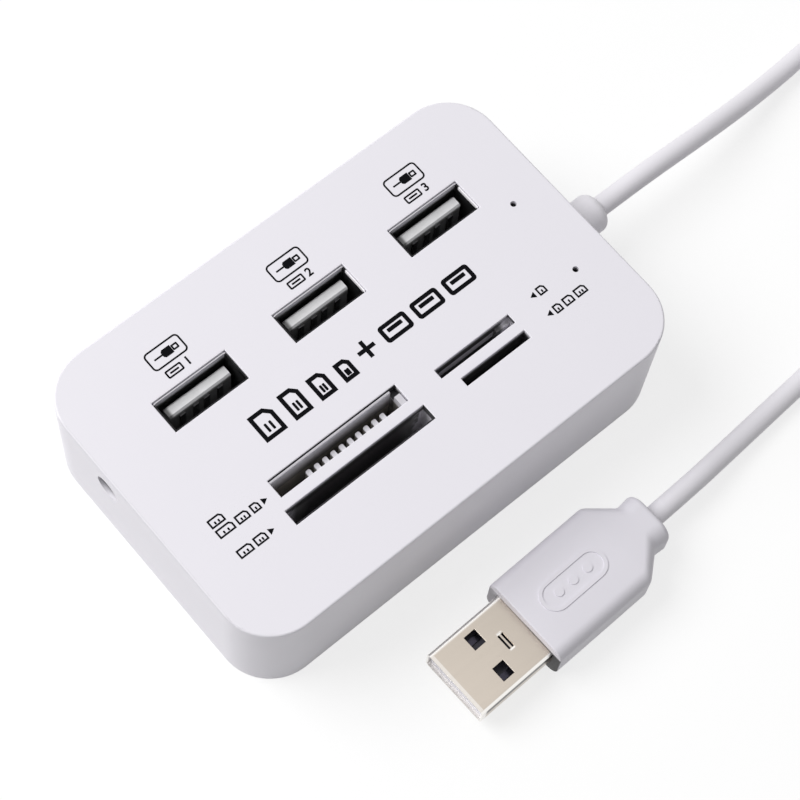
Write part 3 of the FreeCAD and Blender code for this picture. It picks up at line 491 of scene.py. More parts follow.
def pale_walls(finish, x, y, switch_side):
    """One on the walls of the openings that stay pale in their depth."""
    beside_end = x.band(liner_high.x, -0.1, 0.3, 0.1)
    block_side = y.band(liner_low.y, 0.7, 2.4, 0.1)
    port_back = y.band(port_high.y, -0.1, 0.4, 0.1)
    return beside_end * block_side | switch_side * 0.55 | port_back | pale_ends(finish)


def shaded_openings(finish, colour):
    """White outside; painted shade along the left edge that dulls its highlight, and painted shade on the
    walls of the openings below the top face and in the jack's bore.
    """
    x, y, z = finish.axes()
    outside = abs(x).step(OPENINGS_REACH_X, 0, 1) | abs(y).step(OPENINGS_REACH_Y, 0, 1)
    # Painted shade: the walls of the openings darken below the top face, more sharply at the lining's back
    # and the slot ends
    fading = z.step(case_top, -1.15, -0.1)
    sharp = z.step(case_top, -0.2, -0.1)
    stick_back = y.band(liner_high.y, -0.6, 0, 0.1)
    flat_row = y.step(flat_low.y, -0.3, 0)
    ends = slot_end(x, large_high) | slot_end(x, flat_high) * flat_row
    lit = fading + (sharp - fading) * (stick_back | ends)
    below_end = 1 - z.step(case_top, -1.0, -0.9)
    switch_side = x.between(switch_low.x + 1.6 * MM, switch_high.x + 0.5 * MM, 0.9 * MM)
    switch_side = flat_row * switch_side * ((1 - ends) | below_end)
    light = outside | lit | pale_walls(finish, x, y, switch_side)
    # Painted shade along the left edge that dulls its highlight
    edge = (case_low.x - x).step(0, -0.45, -0.25) * z.step(case_top, -0.45, -0.3)
    marked = edge.mix(colour, shade("shell", 0.86))
    # Painted shade in the jack's bore and on the walls below the top face
    shown = light * (1 - jack_bore(x, y, z))
    return shown.mix(shade("shell", 0.1), marked)


class HUB_OT_case(bpy.types.Operator):
    """Finish the case, its base and screws, and the lamps under their holes"""

    bl_idname = "hub.case"
    bl_label = "Finish the case"

    def execute(self, context):
        case = context.scene.hub_case
        dress(["top_shell"], moulded("case_satin", case.shell_colour, tint=shaded_openings))
        dress(["base_plate"], moulded("base_texture", case.shell_colour, 0.55, 1500.0, 0.06 * MM))
        dress(["base_screws"], plated("screw_zinc", (0.5, 0.5, 0.51), 0.3, 2))
        dress(["link_lamp", "card_lamp"], dark_lens("lamp_lens"))
        return {"FINISHED"}


def dull_sides(finish, colour):
    """Pale end face with worn patches, a painted shadow on its left end and painted shade on its sides."""
    x = finish.axis("X")
    boxes = [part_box(name) for name in numbered("port_tongue")]
    starts = [(low.x + high.x - TONGUE_LENGTH) / 2 for low, high in boxes]
    # Painted shadow on the left end of each tongue
    left = sum(x.band(start, 0, 0.3, 0.6) for start in starts)
    worn = finish.noise(480.0, 3.0).mix(shade("tongue", 0.8), colour)
    shadowed_left = left.mix(worn, shade("tongue", 0.2))
    # Painted shade on the sides below the end face
    share = finish.axis("Z").step(tongue_top, -1.3, -0.05)
    return share.mix(shade("tongue", 0.22), shadowed_left)


def back_wall(finish):
    """One at the top of the wall behind the tongues."""
    behind = finish.axis("Y").step(port_high.y, -0.3, -0.24)
    return behind * finish.axis("Z").step(port_high.z, -1.75, -0.6)


def end_wall(finish):
    """One at the top of the pale end walls."""
    return pale_ends(finish) * finish.axis("Z").step(port_high.z, -0.75, -0.5)


# Painted light: pale paint on the port sheet takes the place of its metal gloss
def pale_coat(finish):
    """One on both kinds of pale wall."""
    return back_wall(finish) | end_wall(finish)


def dull_depth(finish, colour):
    """Painted shade at the rim and dull patches below it; behind the tongues pale paint with painted shade
    below its top edge, and a painted highlight on two end walls.
    """
    z = finish.axis("Z")
    patches = finish.noise(420.0, 3.0).mix(shade("steel", 0.4), colour)
    # Painted shade at the rim of each port
    rim = z.step(port_high.z, -1.6, 0)
    dark = rim.mix(patches, shade("steel", 0.1))
    # Pale paint behind the tongues, darkened below its top edge as painted shade
    top = z.step(port_high.z, -0.25, -0.05)
    pale_band = top.mix(shade("shell"), shade("shell", 0.74))
    backed = back_wall(finish).mix(dark, pale_band)
    # Painted highlight on two end walls, brighter than the case
    return end_wall(finish).mix(backed, shade("shell", 1.15))


class HUB_OT_ports(bpy.types.Operator):
    """Finish the ports and the jack"""

    bl_idname = "hub.ports"
    bl_label = "Finish the ports"

    def execute(self, context):
        case = context.scene.hub_case
        sheet = plated("port_sheet", case.steel_colour, 0.36, 2, tint=dull_depth, painted_over=pale_coat)
        dress(numbered("port_shell"), sheet)
        dress(numbered("port_tongue"), moulded("tongue_plastic", case.tongue_colour, 0.5, tint=dull_sides))
        dress(numbered("port_contacts"), plated("port_spring", scaled(case.steel_colour, 0.6), 0.4, 2))
        dress(["jack_body"], black_plastic("jack_black", case.dark_colour))
        dress(["jack_pin"], plated("jack_nickel", (0.62, 0.62, 0.6), 0.22, 0))
        return {"FINISHED"}


def fading_wall(finish, colour):
    """Lining with painted light and shade: white a little brighter than the case's, painted shade down the
    comb's sides, its tips and the back wall, the lip's top and the end block toned down, and black painted
    shade behind the lip and in the corner past the end.
    """
    y = finish.axis("Y")
    z = finish.axis("Z")
    past_end = past_lining(finish)
    wall = y.step(liner_high.y, -1.4, -1.0)
    # Painted shade: the comb's sides and the back wall darken towards the lining's depth colour
    comb_light = z.step(liner_high.z, -1.9, -1.35)
    wall_light = z.rise(liner_low.z - 1.0 * MM, liner_high.z - 0.6 * MM)
    light = comb_light + (wall_light - comb_light) * wall
    lip = z.step(liner_high.z, -0.1, 0) * wall
    # Painted light: white a little brighter than the case's, toned down on the lip's top and the end block
    toned = lip.mix(shade("shell", 1.1), shade("shell", 0.75))
    blocked = past_end.mix(toned, shade("shell", 0.75))
    # Painted shade on the comb's tips
    tips = y.step(liner_low.y, 0.4, 2.8) * (1 - (wall | past_end))
    graded = tips.mix(blocked, shade("shell", 0.36))
    lit = light.mix(shade("depth", 0.4), graded)
    # Painted shade, black, in the gap behind the lip and in the corner past the lining's end
    behind_lip = y.step(liner_high.y, -0.46, -0.4)
    corner = past_end * y.step(liner_low.y, 2.52, 2.6)
    return (behind_lip | corner).mix(lit, shade("dark"))


def black_end(finish, colour):
    """Painted shade: black past the end of the lining."""
    return past_lining(finish).mix(colour, shade("dark"))


def grey_ends(finish, colour):
    """Black rim over walls with painted light, greyer below the rim and paler near both ends, and painted
    glints near both ends.
    """
    z = finish.axis("Z")
    from_middle = abs(finish.axis("X") - (large_low.x + large_high.x) / 2)
    reach = (large_high.x - large_low.x) / 2
    rim = z.step(large_high.z, -2.6, -1.1)
    # Painted light: the walls below the rim greyer, and paler near both ends
    near_end = from_middle.step(reach, -6.5, -3.5)
    greyer = near_end.mix(shade("grey"), shade("tongue", 0.3))
    walls = rim.mix(greyer, colour)
    # Painted glints near both ends, below the rim
    patches = finish.noise(420.0, 3.0).rise(0.36, 0.5)
    end = from_middle.step(reach, -3.6, -2.0) * patches
    last = from_middle.step(reach, -2.1, -1.7)
    below = 1 - z.step(large_high.z, -1.6, -0.8)
    return ((end | last) * below).mix(walls, shade("shell"))


def grey_band(finish, colour):
    """Black rim over walls that painted light makes greyer, with a pale rail, a painted glint at the left
    end and a pale right end in the upper short slot.
    """
    x, y, z = finish.axes()
    rim = z.step(flat_high.z, -0.9, -0.3)
    # Painted light: walls greyer below the black rim
    walls = rim.mix(shade("grey", 0.8), colour)
    upper = y.step(flat_low.y, 0, 0.5)
    rail = z.band(flat_high.z, -2.5, -1.2, 0.5)
    # Painted glint at the left end of the upper short slot
    left_end = 1 - x.step(flat_low.x, 1.5, 2.2)
    right_end = x.step(switch_high.x, -1.3, -0.8)
    pale = (rail | left_end | right_end) * upper
    return pale.mix(walls, shade("shell"))


def dull_ends(finish, colour):
    """White in the middle of the switch, with painted shade at its start and a little greyer at its end."""
    x = finish.axis("X")
    # Painted shade at the switch's start
    past_start = x.step(switch_low.x, 0.6, 1.6)
    at_end = x.rise(switch_low.x + 1.6 * MM, switch_high.x)
    greyer = at_end.mix(colour, shade("shell", 0.6))
    return past_start.mix(shade("shell", 0.2), greyer)


class HUB_OT_slots(bpy.types.Operator):
    """Finish the card sockets and the lining with its comb"""

    bl_idname = "hub.slots"
    bl_label = "Finish the card slots"

    def execute(self, context):
        case = context.scene.hub_case
        dress(["stick_liner"], moulded("lining_white", case.shell_colour, 0.38, tint=fading_wall))
        dress(["stick_socket"], moulded("lining_foot", case.depth_colour, 0.5, tint=black_end))
        dress(["large_socket"], black_plastic("large_black", case.dark_colour, grey_ends))
        dress(["flat_socket", "tiny_socket"], black_plastic("socket_black", case.dark_colour, grey_band))
        dress(["flat_switch"], moulded("switch_white", scaled(case.shell_colour, 1.1), 0.4, tint=dull_ends))
        pins = ["stick_pins", "large_pins", "flat_pins", "tiny_pins"]
        dress(pins, gold_flash("card_spring", scaled(case.gold_colour, 0.2)))
        return {"FINISHED"}


class HUB_OT_board(bpy.types.Operator):
    """Finish the board and what stands on it"""

    bl_idname = "hub.board"
    bl_label = "Finish the board"

    def execute(self, context):
        case = context.scene.hub_case
        dress(["main_board"], solder_mask("board_mask", case.board_colour))
        dress(["hub_chip", "reader_chip"], chip_epoxy("chip_epoxy"))
        dress(["crystal"], plated("crystal_can", (0.66, 0.66, 0.65), 0.25, 0))
        dress(["capacitors"], black_plastic("capacitor_sleeve", (0.02, 0.02, 0.03)))
        dress(["cable_cores"], sheathing("core_sheath", (0.55, 0.55, 0.56)))
        return {"FINISHED"}


# Print on the top face: places and sizes
ROW_LEFT = -19.8 * MM
ROW_Y = 0.55 * MM
ROW_GAP = 1.6 * MM
# Width of each card in the row, and its height as a share of the row's
ROW_CARDS = ((3.9 * MM, 1.0), (3.3 * MM, 1.0), (3.0 * MM, 0.86), (2.6 * MM, 0.72))
ROW_STRIPE = 0.42 * MM
ROW_PLUS_REACH = 1.55 * MM
ROW_SOCKET_WIDTH = 5.1 * MM
ROW_SOCKET_HEIGHT = 3.1 * MM
ROW_SOCKET_GAP = 1.1 * MM
ROW_SOCKET_RADIUS = 0.6 * MM
ROW_TONGUE_WIDTH = 0.54 * ROW_SOCKET_WIDTH
ROW_TONGUE_SHIFT = 0.25 * MM
ROW_TONGUE_RADIUS = 0.12 * MM
ICON_MIDDLE = 0.66 * MM
ICON_PITCH = 22.99 * MM
ICON_Y = 18.65 * MM
ICON_WIDTH = 6.3 * MM
ICON_HEIGHT = 3.4 * MM
ICON_RADIUS = 0.75 * MM
# Plug in the frame over a port, from the frame's middle: cord's end, grip's start and end, tip
ICON_CORD_END = -2.1 * MM
ICON_GRIP_START = -0.65 * MM
ICON_GRIP_END = 1.1 * MM
ICON_GRIP_RISE = 0.7 * MM
ICON_GRIP_CORNER = 0.3 * MM
ICON_TIP_MIDDLE = 1.7 * MM
ICON_TIP_LENGTH = 1.1 * MM
ICON_TIP_HEIGHT = 1.0 * MM
ICON_TIP_RADIUS = 0.15 * MM
CAPTION_Y = 15.6 * MM
CAPTION_HEIGHT = 1.4 * MM
CAPTION_SOCKET = 2.9 * MM
CAPTION_SOCKET_SHIFT = -0.75 * MM
CAPTION_RADIUS = 0.25 * MM
CAPTION_TONGUE = 0.55 * CAPTION_SOCKET
CAPTION_TONGUE_LINE = 0.3 * MM
CAPTION_TONGUE_RADIUS = 0.08 * MM
CAPTION_FIGURE_SHIFT = 1.75 * MM
# Card marks: left end, middle height, widths of the cards, and which way the pointer looks
CARD_MARKS = (
    (-34.2 * MM, -6.5 * MM, (2.5 * MM,), 0),
    (-34.2 * MM, -8.4 * MM, (2.9 * MM, 2.2 * MM, 1.5 * MM), 1),
    (-33.8 * MM, -12.6 * MM, (2.5 * MM, 2.1 * MM), 1),
    (25.5 * MM, -8.5 * MM, (1.5 * MM,), -1),
    (25.5 * MM, -12.3 * MM, (1.4 * MM, 1.8 * MM, 2.1 * MM), -1),
)
MARK_HEIGHT = 1.5 * MM
MARK_GAP = 0.5 * MM
TWO_STRIPE_WIDTH = 2 * MM
POINTER_LENGTH = 0.9 * MM
POINTER_HEIGHT = 1.1 * MM
# Shares of a card's size: clipped corner, and drop and height of its stripes
CARD_CLIP = 0.3
STRIPE_DROP = 0.12
STRIPE_HEIGHT = 0.32
# Corner radius of a stripe as a share of its width
STRIPE_ROUND = 0.3
# A 45 degree corner loses this share of a line's width when its outline is drawn inwards
CLIP_LOSS = 2 - math.sqrt(2)
# Height of a figure as a share of the font's size
FIGURE_SHARE = 0.7
FIGURE_BOLDER = 0.05 * MM
# Least corner radius inside a frame, as a share of the one outside
INNER_ROUND = 0.2


def rounded_loop(x, y, width, height, radius, steps=6):
    """Closed loop of points round a rectangle with rounded corners."""
    points = []
    corners = ((1, -1), (1, 1), (-1, 1), (-1, -1))
    for index, (side_x, side_y) in enumerate(corners):
        centre_x = x + side_x * (width / 2 - radius)
        centre_y = y + side_y * (height / 2 - radius)
        for step in range(steps + 1):
            angle = math.radians(90 * (index - 1 + step / steps))
            points.append((centre_x + radius * math.cos(angle), centre_y + radius * math.sin(angle)))
    return points


def frame_loops(x, y, width, height, radius, line):
    """Outer and inner loop of a rounded frame."""
    inner_radius = max(radius - line, radius * INNER_ROUND)
    return [
        rounded_loop(x, y, width, height, radius),
        rounded_loop(x, y, width - 2 * line, height - 2 * line, inner_radius),
    ]


def card_loop(x, y, width, height, clip):
    """Closed loop of a card with one clipped corner."""
    left, right = x - width / 2, x + width / 2
    low, high = y - height / 2, y + height / 2
    return [(left, low), (right, low), (right, high - clip), (right - clip, high), (left, high)]


def card_loops(x, y, width, height, line, stripes, stripe_width):
    """Outline of a card with a clipped corner and a row of contact stripes."""
    clip = CARD_CLIP * min(width, height)
    loops = [
        card_loop(x, y, width, height, clip),
        card_loop(x, y, width - 2 * line, height - 2 * line, clip - line * CLIP_LOSS),
    ]
    room = width - 2 * line
    for index in range(stripes):
        stripe_x = x - room / 2 + room * (index + 1) / (stripes + 1)
        stripe_y = y - STRIPE_DROP * height
        radius = STRIPE_ROUND * stripe_width
        loops.append(rounded_loop(stripe_x, stripe_y, stripe_width, STRIPE_HEIGHT * height, radius, 2))
    return loops


def plus_loop(x, y, reach, line):
    """Closed loop of a plus sign."""
    half = line / 2
    arm = [(reach, -half), (reach, half), (half, half)]
    points = []
    for quarter in range(4):
        turn = Matrix.Rotation(math.radians(90 * quarter), 2)
        points += [tuple(turn @ Vector(point) + Vector((x, y))) for point in arm]
    return points


def row_loops(settings):
    """Four cards, a plus sign and three sockets in one row."""
    height = settings.row_height
    line = settings.row_line
    loops = []
    left = ROW_LEFT
    for width, share in ROW_CARDS:
        tall = height * share
        y = ROW_Y - (height - tall) / 2
        loops += card_loops(left + width / 2, y, width, tall, line, 2, ROW_STRIPE)
        left += width + ROW_GAP
    loops.append(plus_loop(left + ROW_PLUS_REACH, ROW_Y, ROW_PLUS_REACH, line))
    left += 2 * ROW_PLUS_REACH + ROW_GAP
    for _ in PORTS:
        x = left + ROW_SOCKET_WIDTH / 2
        loops += frame_loops(x, ROW_Y, ROW_SOCKET_WIDTH, ROW_SOCKET_HEIGHT, ROW_SOCKET_RADIUS, line)
        tongue_y = ROW_Y + ROW_TONGUE_SHIFT
        loops.append(rounded_loop(x, tongue_y, ROW_TONGUE_WIDTH, line, ROW_TONGUE_RADIUS, 3))
        left += ROW_SOCKET_WIDTH + ROW_SOCKET_GAP
    return loops


def plug_loop(x, y, line):
    """Closed loop of a plug's grip with its cord."""
    start = x + ICON_GRIP_START
    upper = [
        (x + ICON_CORD_END, line / 2),
        (start, line / 2),
        (start, ICON_GRIP_RISE - ICON_GRIP_CORNER),
        (start + ICON_GRIP_CORNER, ICON_GRIP_RISE),
        (x + ICON_GRIP_END, ICON_GRIP_RISE),
    ]
    lower = [(place, -height) for place, height in reversed(upper)]
    return [(place, y + height) for place, height in upper + lower]


def port_icon_loops(settings, x):
    """Rounded frame with a plain plug in it, over a small socket that stands beside the port's figure."""
    line = settings.small_line
    loops = frame_loops(x, ICON_Y, ICON_WIDTH, ICON_HEIGHT, ICON_RADIUS, line)
    loops.append(plug_loop(x, ICON_Y, line))
    tip_x = x + ICON_TIP_MIDDLE
    loops += frame_loops(tip_x, ICON_Y, ICON_TIP_LENGTH, ICON_TIP_HEIGHT, ICON_TIP_RADIUS, line)
    socket_x = x + CAPTION_SOCKET_SHIFT
    loops += frame_loops(socket_x, CAPTION_Y, CAPTION_SOCKET, CAPTION_HEIGHT, CAPTION_RADIUS, line)
    tongue = (CAPTION_TONGUE, CAPTION_TONGUE_LINE, CAPTION_TONGUE_RADIUS)
    loops.append(rounded_loop(socket_x, CAPTION_Y, *tongue, 2))
    return loops


def card_mark_loops(settings):
    """Rows of small cards beside the slots, most with a pointer to their slot."""
    line = settings.small_line
    loops = []
    for left, y, widths, way in CARD_MARKS:
        place = left
        if way < 0:
            place += POINTER_LENGTH + MARK_GAP
        for width in widths:
            stripes = 1 if width < TWO_STRIPE_WIDTH else 2
            loops += card_loops(place + width / 2, y, width, MARK_HEIGHT, line, stripes, line)
            place += width + MARK_GAP
        if way:
            base = place if way > 0 else left + POINTER_LENGTH
            half = POINTER_HEIGHT / 2
            loops.append([(base, y - half), (base + way * POINTER_LENGTH, y), (base, y + half)])
    return loops


def add_spline(curve, kind, places):
    """Adds a spline with its points to a curve."""
    spline = curve.splines.new(kind)
    spline.points.add(len(places) - 1)
    for point, place in zip(spline.points, places):
        point.co = (*place, 1)
    return spline


def ink_mesh(name, loops, thickness, height):
    """Flat printed shapes: loops within loops leave the ground bare."""
    curve = bpy.data.curves.new(name, "CURVE")
    curve.dimensions = "2D"
    curve.fill_mode = "BOTH"
    curve.extrude = thickness / 2
    for loop in loops:
        spline = add_spline(curve, "POLY", [(x, y, 0) for x, y in loop])
        spline.use_cyclic_u = True
    return flat_to_mesh(name, curve, (0, 0, height + thickness / 2))


def figure_mesh(name, figure, x, height, thickness):
    """A printed figure of the caption row."""
    text = bpy.data.curves.new(name, "FONT")
    text.body = figure
    text.size = CAPTION_HEIGHT / FIGURE_SHARE
    text.extrude = thickness / 2
    text.offset = FIGURE_BOLDER
    text.align_x = "CENTER"
    text.align_y = "CENTER"
    return flat_to_mesh(name, text, (x, CAPTION_Y, height + thickness / 2))


def flat_to_mesh(name, curve, place):
    """Mesh of a flat curve or text, put in its place."""
    helper = placed(f"{name}_curve", curve)
    bpy.context.view_layer.update()
    depsgraph = bpy.context.evaluated_depsgraph_get()
    mesh = bpy.data.meshes.new_from_object(helper.evaluated_get(depsgraph))
    mesh.transform(Matrix.Translation(place))
    mesh.name = name
    bpy.data.objects.remove(helper)
    bpy.data.curves.remove(curve)
    return mesh


class HUB_OT_print(bpy.types.Operator):
    """Print the row of pictograms, the port figures and the card marks on the top face"""

    bl_idname = "hub.print"
    bl_label = "Print the top face"

    def execute(self, context):
        settings = context.scene.hub_print
        ink = printed_ink("pad_ink", settings.ink_colour)
        thick = settings.ink_thickness
        places = [ICON_MIDDLE + ICON_PITCH * (number - 2) for number in PORTS]
        icons = [loop for x in places for loop in port_icon_loops(settings, x)]
        prints = {
            "row_of_pictograms": row_loops(settings),
            "port_icons": icons,
            "card_marks": card_mark_loops(settings),
        }
        for name, loops in prints.items():
            new_piece(name, ink_mesh(name, loops, thick, case_top), ink)
        for number, x in zip(PORTS, places):
            name = f"port_figure_{number}"
            figure = figure_mesh(name, str(number), x + CAPTION_FIGURE_SHIFT, case_top, thick)
            new_piece(name, figure, ink)
        return {"FINISHED"}


# Plug, in its own frame: X from the grip's front face towards the cable, Z from the floor
GRIP_LENGTH = 18.7 * MM
GRIP_WIDTH = 15.5 * MM
GRIP_HEIGHT = 8.6 * MM
GRIP_CORNER = 2.0 * MM
GRIP_FRONT_EDGE = 0.2 * MM
SHOULDER = 4.4 * MM
NECK = 8.5 * MM
COLLAR_WIDTH = 9.1 * MM
COLLAR_CORNER = 2.8 * MM
COLLAR_END_EDGE = 0.8 * MM
PLUG_LENGTH = 26.2 * MM
PLUG_PLACE = Vector((-4.9 * MM, -43.66 * MM, 0))
PLUG_ANGLE = math.radians(1.4)
SEAT_WIDTH = 12.08 * MM
SEAT_HEIGHT = 4.58 * MM
SEAT_DEPTH = 4.0 * MM
SEAT_CORNER = 0.65 * MM
SEAT_EDGE = 0.1 * MM
SHELL_LENGTH = 13.9 * MM
SHELL_WIDTH = 12.0 * MM
DIMPLE_MIDDLE = -3.8 * MM
RING_STEPS = 10
FRONT_STEPS = 5
END_STEPS = 7
SHARP_ANGLE = math.radians(38)
GRIP_STATIONS = 34
# Length over which the two ends of the straight shoulders are rounded off
SHOULDER_SOFT = 0.55 * MM
ROUND_SHARE = 0.49
# Raised mark on the grip
MARK_MIDDLE = 9.6 * MM
MARK_LENGTH = 12.4 * MM
MARK_WIDTH = 5.0 * MM
MARK_LINE = 0.6 * MM
MARK_RAISED = 0.16 * MM
MARK_SUNK = 0.1 * MM
STUD = 1.5 * MM
STUD_PITCH = 2.9 * MM


def ease(value, start, end):
    """Smooth step from 0 at start to 1 at end."""
    share = min(1.0, max(0.0, (value - start) / (end - start)))
    return share * share * (3 - 2 * share)


def soft_ramp(distance):
    """Ramp that starts at zero with a short curve."""
    if distance <= -SHOULDER_SOFT:
        return 0.0
    if distance >= SHOULDER_SOFT:
        return distance
    return (distance + SHOULDER_SOFT) ** 2 / (4 * SHOULDER_SOFT)


def grip_section(x):
    """Half width, half height and corner radius of the grip at a place along it."""
    shoulder_end = GRIP_LENGTH + SHOULDER
    share = (soft_ramp(x - GRIP_LENGTH) - soft_ramp(x - shoulder_end)) / SHOULDER
    flare = soft_ramp(x - shoulder_end) / (PLUG_LENGTH - shoulder_end)
    half_width = (GRIP_WIDTH - (GRIP_WIDTH - NECK) * share + (COLLAR_WIDTH - NECK) * flare) / 2
    corner = GRIP_CORNER + (COLLAR_CORNER - GRIP_CORNER) * share
    return half_width, GRIP_HEIGHT / 2, corner


def add_ring(mesh, x, half_width, half_height, corner):
    """Ring of vertices round the grip at a place along it."""
    loop = rounded_loop(0, GRIP_HEIGHT / 2, 2 * half_width, 2 * half_height, corner, RING_STEPS)
    return [mesh.verts.new((x, y, z)) for y, z in loop]


def join_rings(mesh, first, second):
    """Faces between two rings."""
    count = len(first)
    for index in range(count):
        following = (index + 1) % count
        mesh.faces.new((first[index], first[following], second[following], second[index]))


def grip_mesh():
    """Moulded grip with a crisp front edge, a seat for the shell, straight shoulders and a short collar."""
    mesh = bmesh.new()
    half_seat = SEAT_WIDTH / 2
    half_seat_height = SEAT_HEIGHT / 2
    rings = [
        add_ring(mesh, SEAT_DEPTH, half_seat, half_seat_height, SEAT_CORNER),
        add_ring(mesh, SEAT_EDGE, half_seat, half_seat_height, SEAT_CORNER),
        add_ring(mesh, 0.0, half_seat + SEAT_EDGE, half_seat_height + SEAT_EDGE, SEAT_CORNER + SEAT_EDGE),
    ]
    half_width, half_height, corner = grip_section(0)
    for step in range(FRONT_STEPS + 1):
        angle = math.radians(90 * step / FRONT_STEPS)
        inset = GRIP_FRONT_EDGE * (1 - math.sin(angle))
        x = GRIP_FRONT_EDGE * (1 - math.cos(angle))
        rings.append(add_ring(mesh, x, half_width - inset, half_height - inset, corner - inset))
    stations = [GRIP_LENGTH * share for share in (0.2, 0.4, 0.6, 0.8)]
    start = GRIP_LENGTH - 2 * SHOULDER_SOFT
    finish = PLUG_LENGTH - COLLAR_END_EDGE
    stations += [start + (finish - start) * index / GRIP_STATIONS for index in range(GRIP_STATIONS + 1)]
    for x in stations:
        rings.append(add_ring(mesh, x, *grip_section(x)))
    half_width, half_height, corner = grip_section(finish)
    for step in range(1, END_STEPS + 1):
        angle = math.radians(90 * step / END_STEPS)
        inset = COLLAR_END_EDGE * (1 - math.cos(angle))
        x = finish + COLLAR_END_EDGE * math.sin(angle)
        rings.append(add_ring(mesh, x, half_width - inset, half_height - inset, corner - inset))
    for first, second in zip(rings, rings[1:]):
        join_rings(mesh, first, second)
    mesh.faces.new(rings[0])
    mesh.faces.new(list(reversed(rings[-1])))
    return finished_mesh("plug_grip_form", mesh)


def finished_mesh(name, mesh):
    """Turns a bmesh into mesh data with outward faces, smooth except at sharp edges."""
    bmesh.ops.recalc_face_normals(mesh, faces=mesh.faces)
    for face in mesh.faces:
        face.smooth = True
    for edge in mesh.edges:
        if len(edge.link_faces) == 2 and edge.calc_face_angle() > SHARP_ANGLE:
            edge.smooth = False
    data = bpy.data.meshes.new(name)
    mesh.to_mesh(data)
    mesh.free()
    return data


def raised_mark_mesh():
    """Plain raised mark on the grip: a long ring with three studs in it."""
    ring = frame_loops(MARK_MIDDLE, 0, MARK_LENGTH, MARK_WIDTH, MARK_WIDTH * ROUND_SHARE, MARK_LINE)
    studs = [
        rounded_loop(MARK_MIDDLE + step * STUD_PITCH, 0, STUD, STUD, STUD * ROUND_SHARE, 8)
        for step in (-1, 0, 1)
    ]
    return ink_mesh("plug_mark", ring + studs, MARK_RAISED + MARK_SUNK, GRIP_HEIGHT - MARK_SUNK)


def plug_coordinates(finish):
    """Places along and across the plug, from the middle of the grip's front face."""
    x = finish.axis("X") - PLUG_PLACE.x
    y = finish.axis("Y") - PLUG_PLACE.y
    along = x * math.cos(PLUG_ANGLE) + y * math.sin(PLUG_ANGLE)
    across = y * math.cos(PLUG_ANGLE) - x * math.sin(PLUG_ANGLE)
    return along, across


def dull_front(finish, colour):
    """Grip with a painted shadow on its front face below the shell's top, darkest on the right."""
    cable = bpy.context.scene.hub_cable
    along, across = plug_coordinates(finish)
    # Painted shadow beside the shell: near black on the right, lighter on the left
    left = across.step(0, -2, 2)
    front_shadow = left.mix(scaled(cable.grip_colour, 0.02), scaled(cable.grip_colour, 0.6))
    below = (plug_shell_top - finish.axis("Z")).step(0, -0.6, 0)
    front = (GRIP_FRONT_EDGE - along).rise(0, GRIP_FRONT_EDGE)
    return (front * below).mix(colour, front_shadow)


def worn_edges(finish, colour):
    """Plating with painted highlights along the top's side edges, its front edge, round the mouth and at
    the dimple's ends, and painted shade on the upper part of its sides and on the top near the grip.
    """
    cable = bpy.context.scene.hub_cable
    along, across = plug_coordinates(finish)
    height = finish.axis("Z")
    to_mouth = 0 - along
    to_right = 0 - across
    # Painted highlights along the side edges of the top
    left_edge = across.step(SHELL_WIDTH / 2, -0.9, -0.5)
    right_edge = to_right.step(SHELL_WIDTH / 2, -0.5, -0.3)
    top = height.step(plug_shell_top, -0.6, -0.35)
    near_grip = along.rise(-0.8 * SHELL_LENGTH, 0)
    # Painted shade on the top near the grip
    face = (near_grip * 0.3).mix(colour, scaled(cable.plate_colour, 0.72))
    # Painted highlight round the mouth, and painted shade on the upper part of the sides
    mouth = to_mouth.step(SHELL_LENGTH, -1.2, -0.6)
    low_side = 1 - height.step(plug_shell_top, -2.7, -1.6)
    side = low_side.mix(scaled(cable.plate_colour, 0.05), cable.plate_colour)
    lower = mouth.mix(side, cable.worn_colour)
    sided = top.mix(lower, face)
    # Painted highlights on the top's front edge and at the dimple's ends
    front = to_mouth.step(SHELL_LENGTH, -0.6, -0.45) * 0.5
    at_dimple = along.band(DIMPLE_MIDDLE, -0.2, 0.2, 0.45)
    dimple_ends = at_dimple * abs(across).band(0, 1.45, 1.5, 0.25)
    bright = left_edge | right_edge | front | dimple_ends
    return (bright * top).mix(sided, cable.worn_colour)


def pale_mouth(finish, colour):
    """Colour at the plug's mouth that turns to painted shade from 1.2 to 3 mm behind its tip."""
    along = plug_coordinates(finish)[0]
    # Painted shade in the plug's depth
    share = along.step(-SHELL_LENGTH, 1.2, 3)
    return share.mix(colour, shade("dark", 3.5))


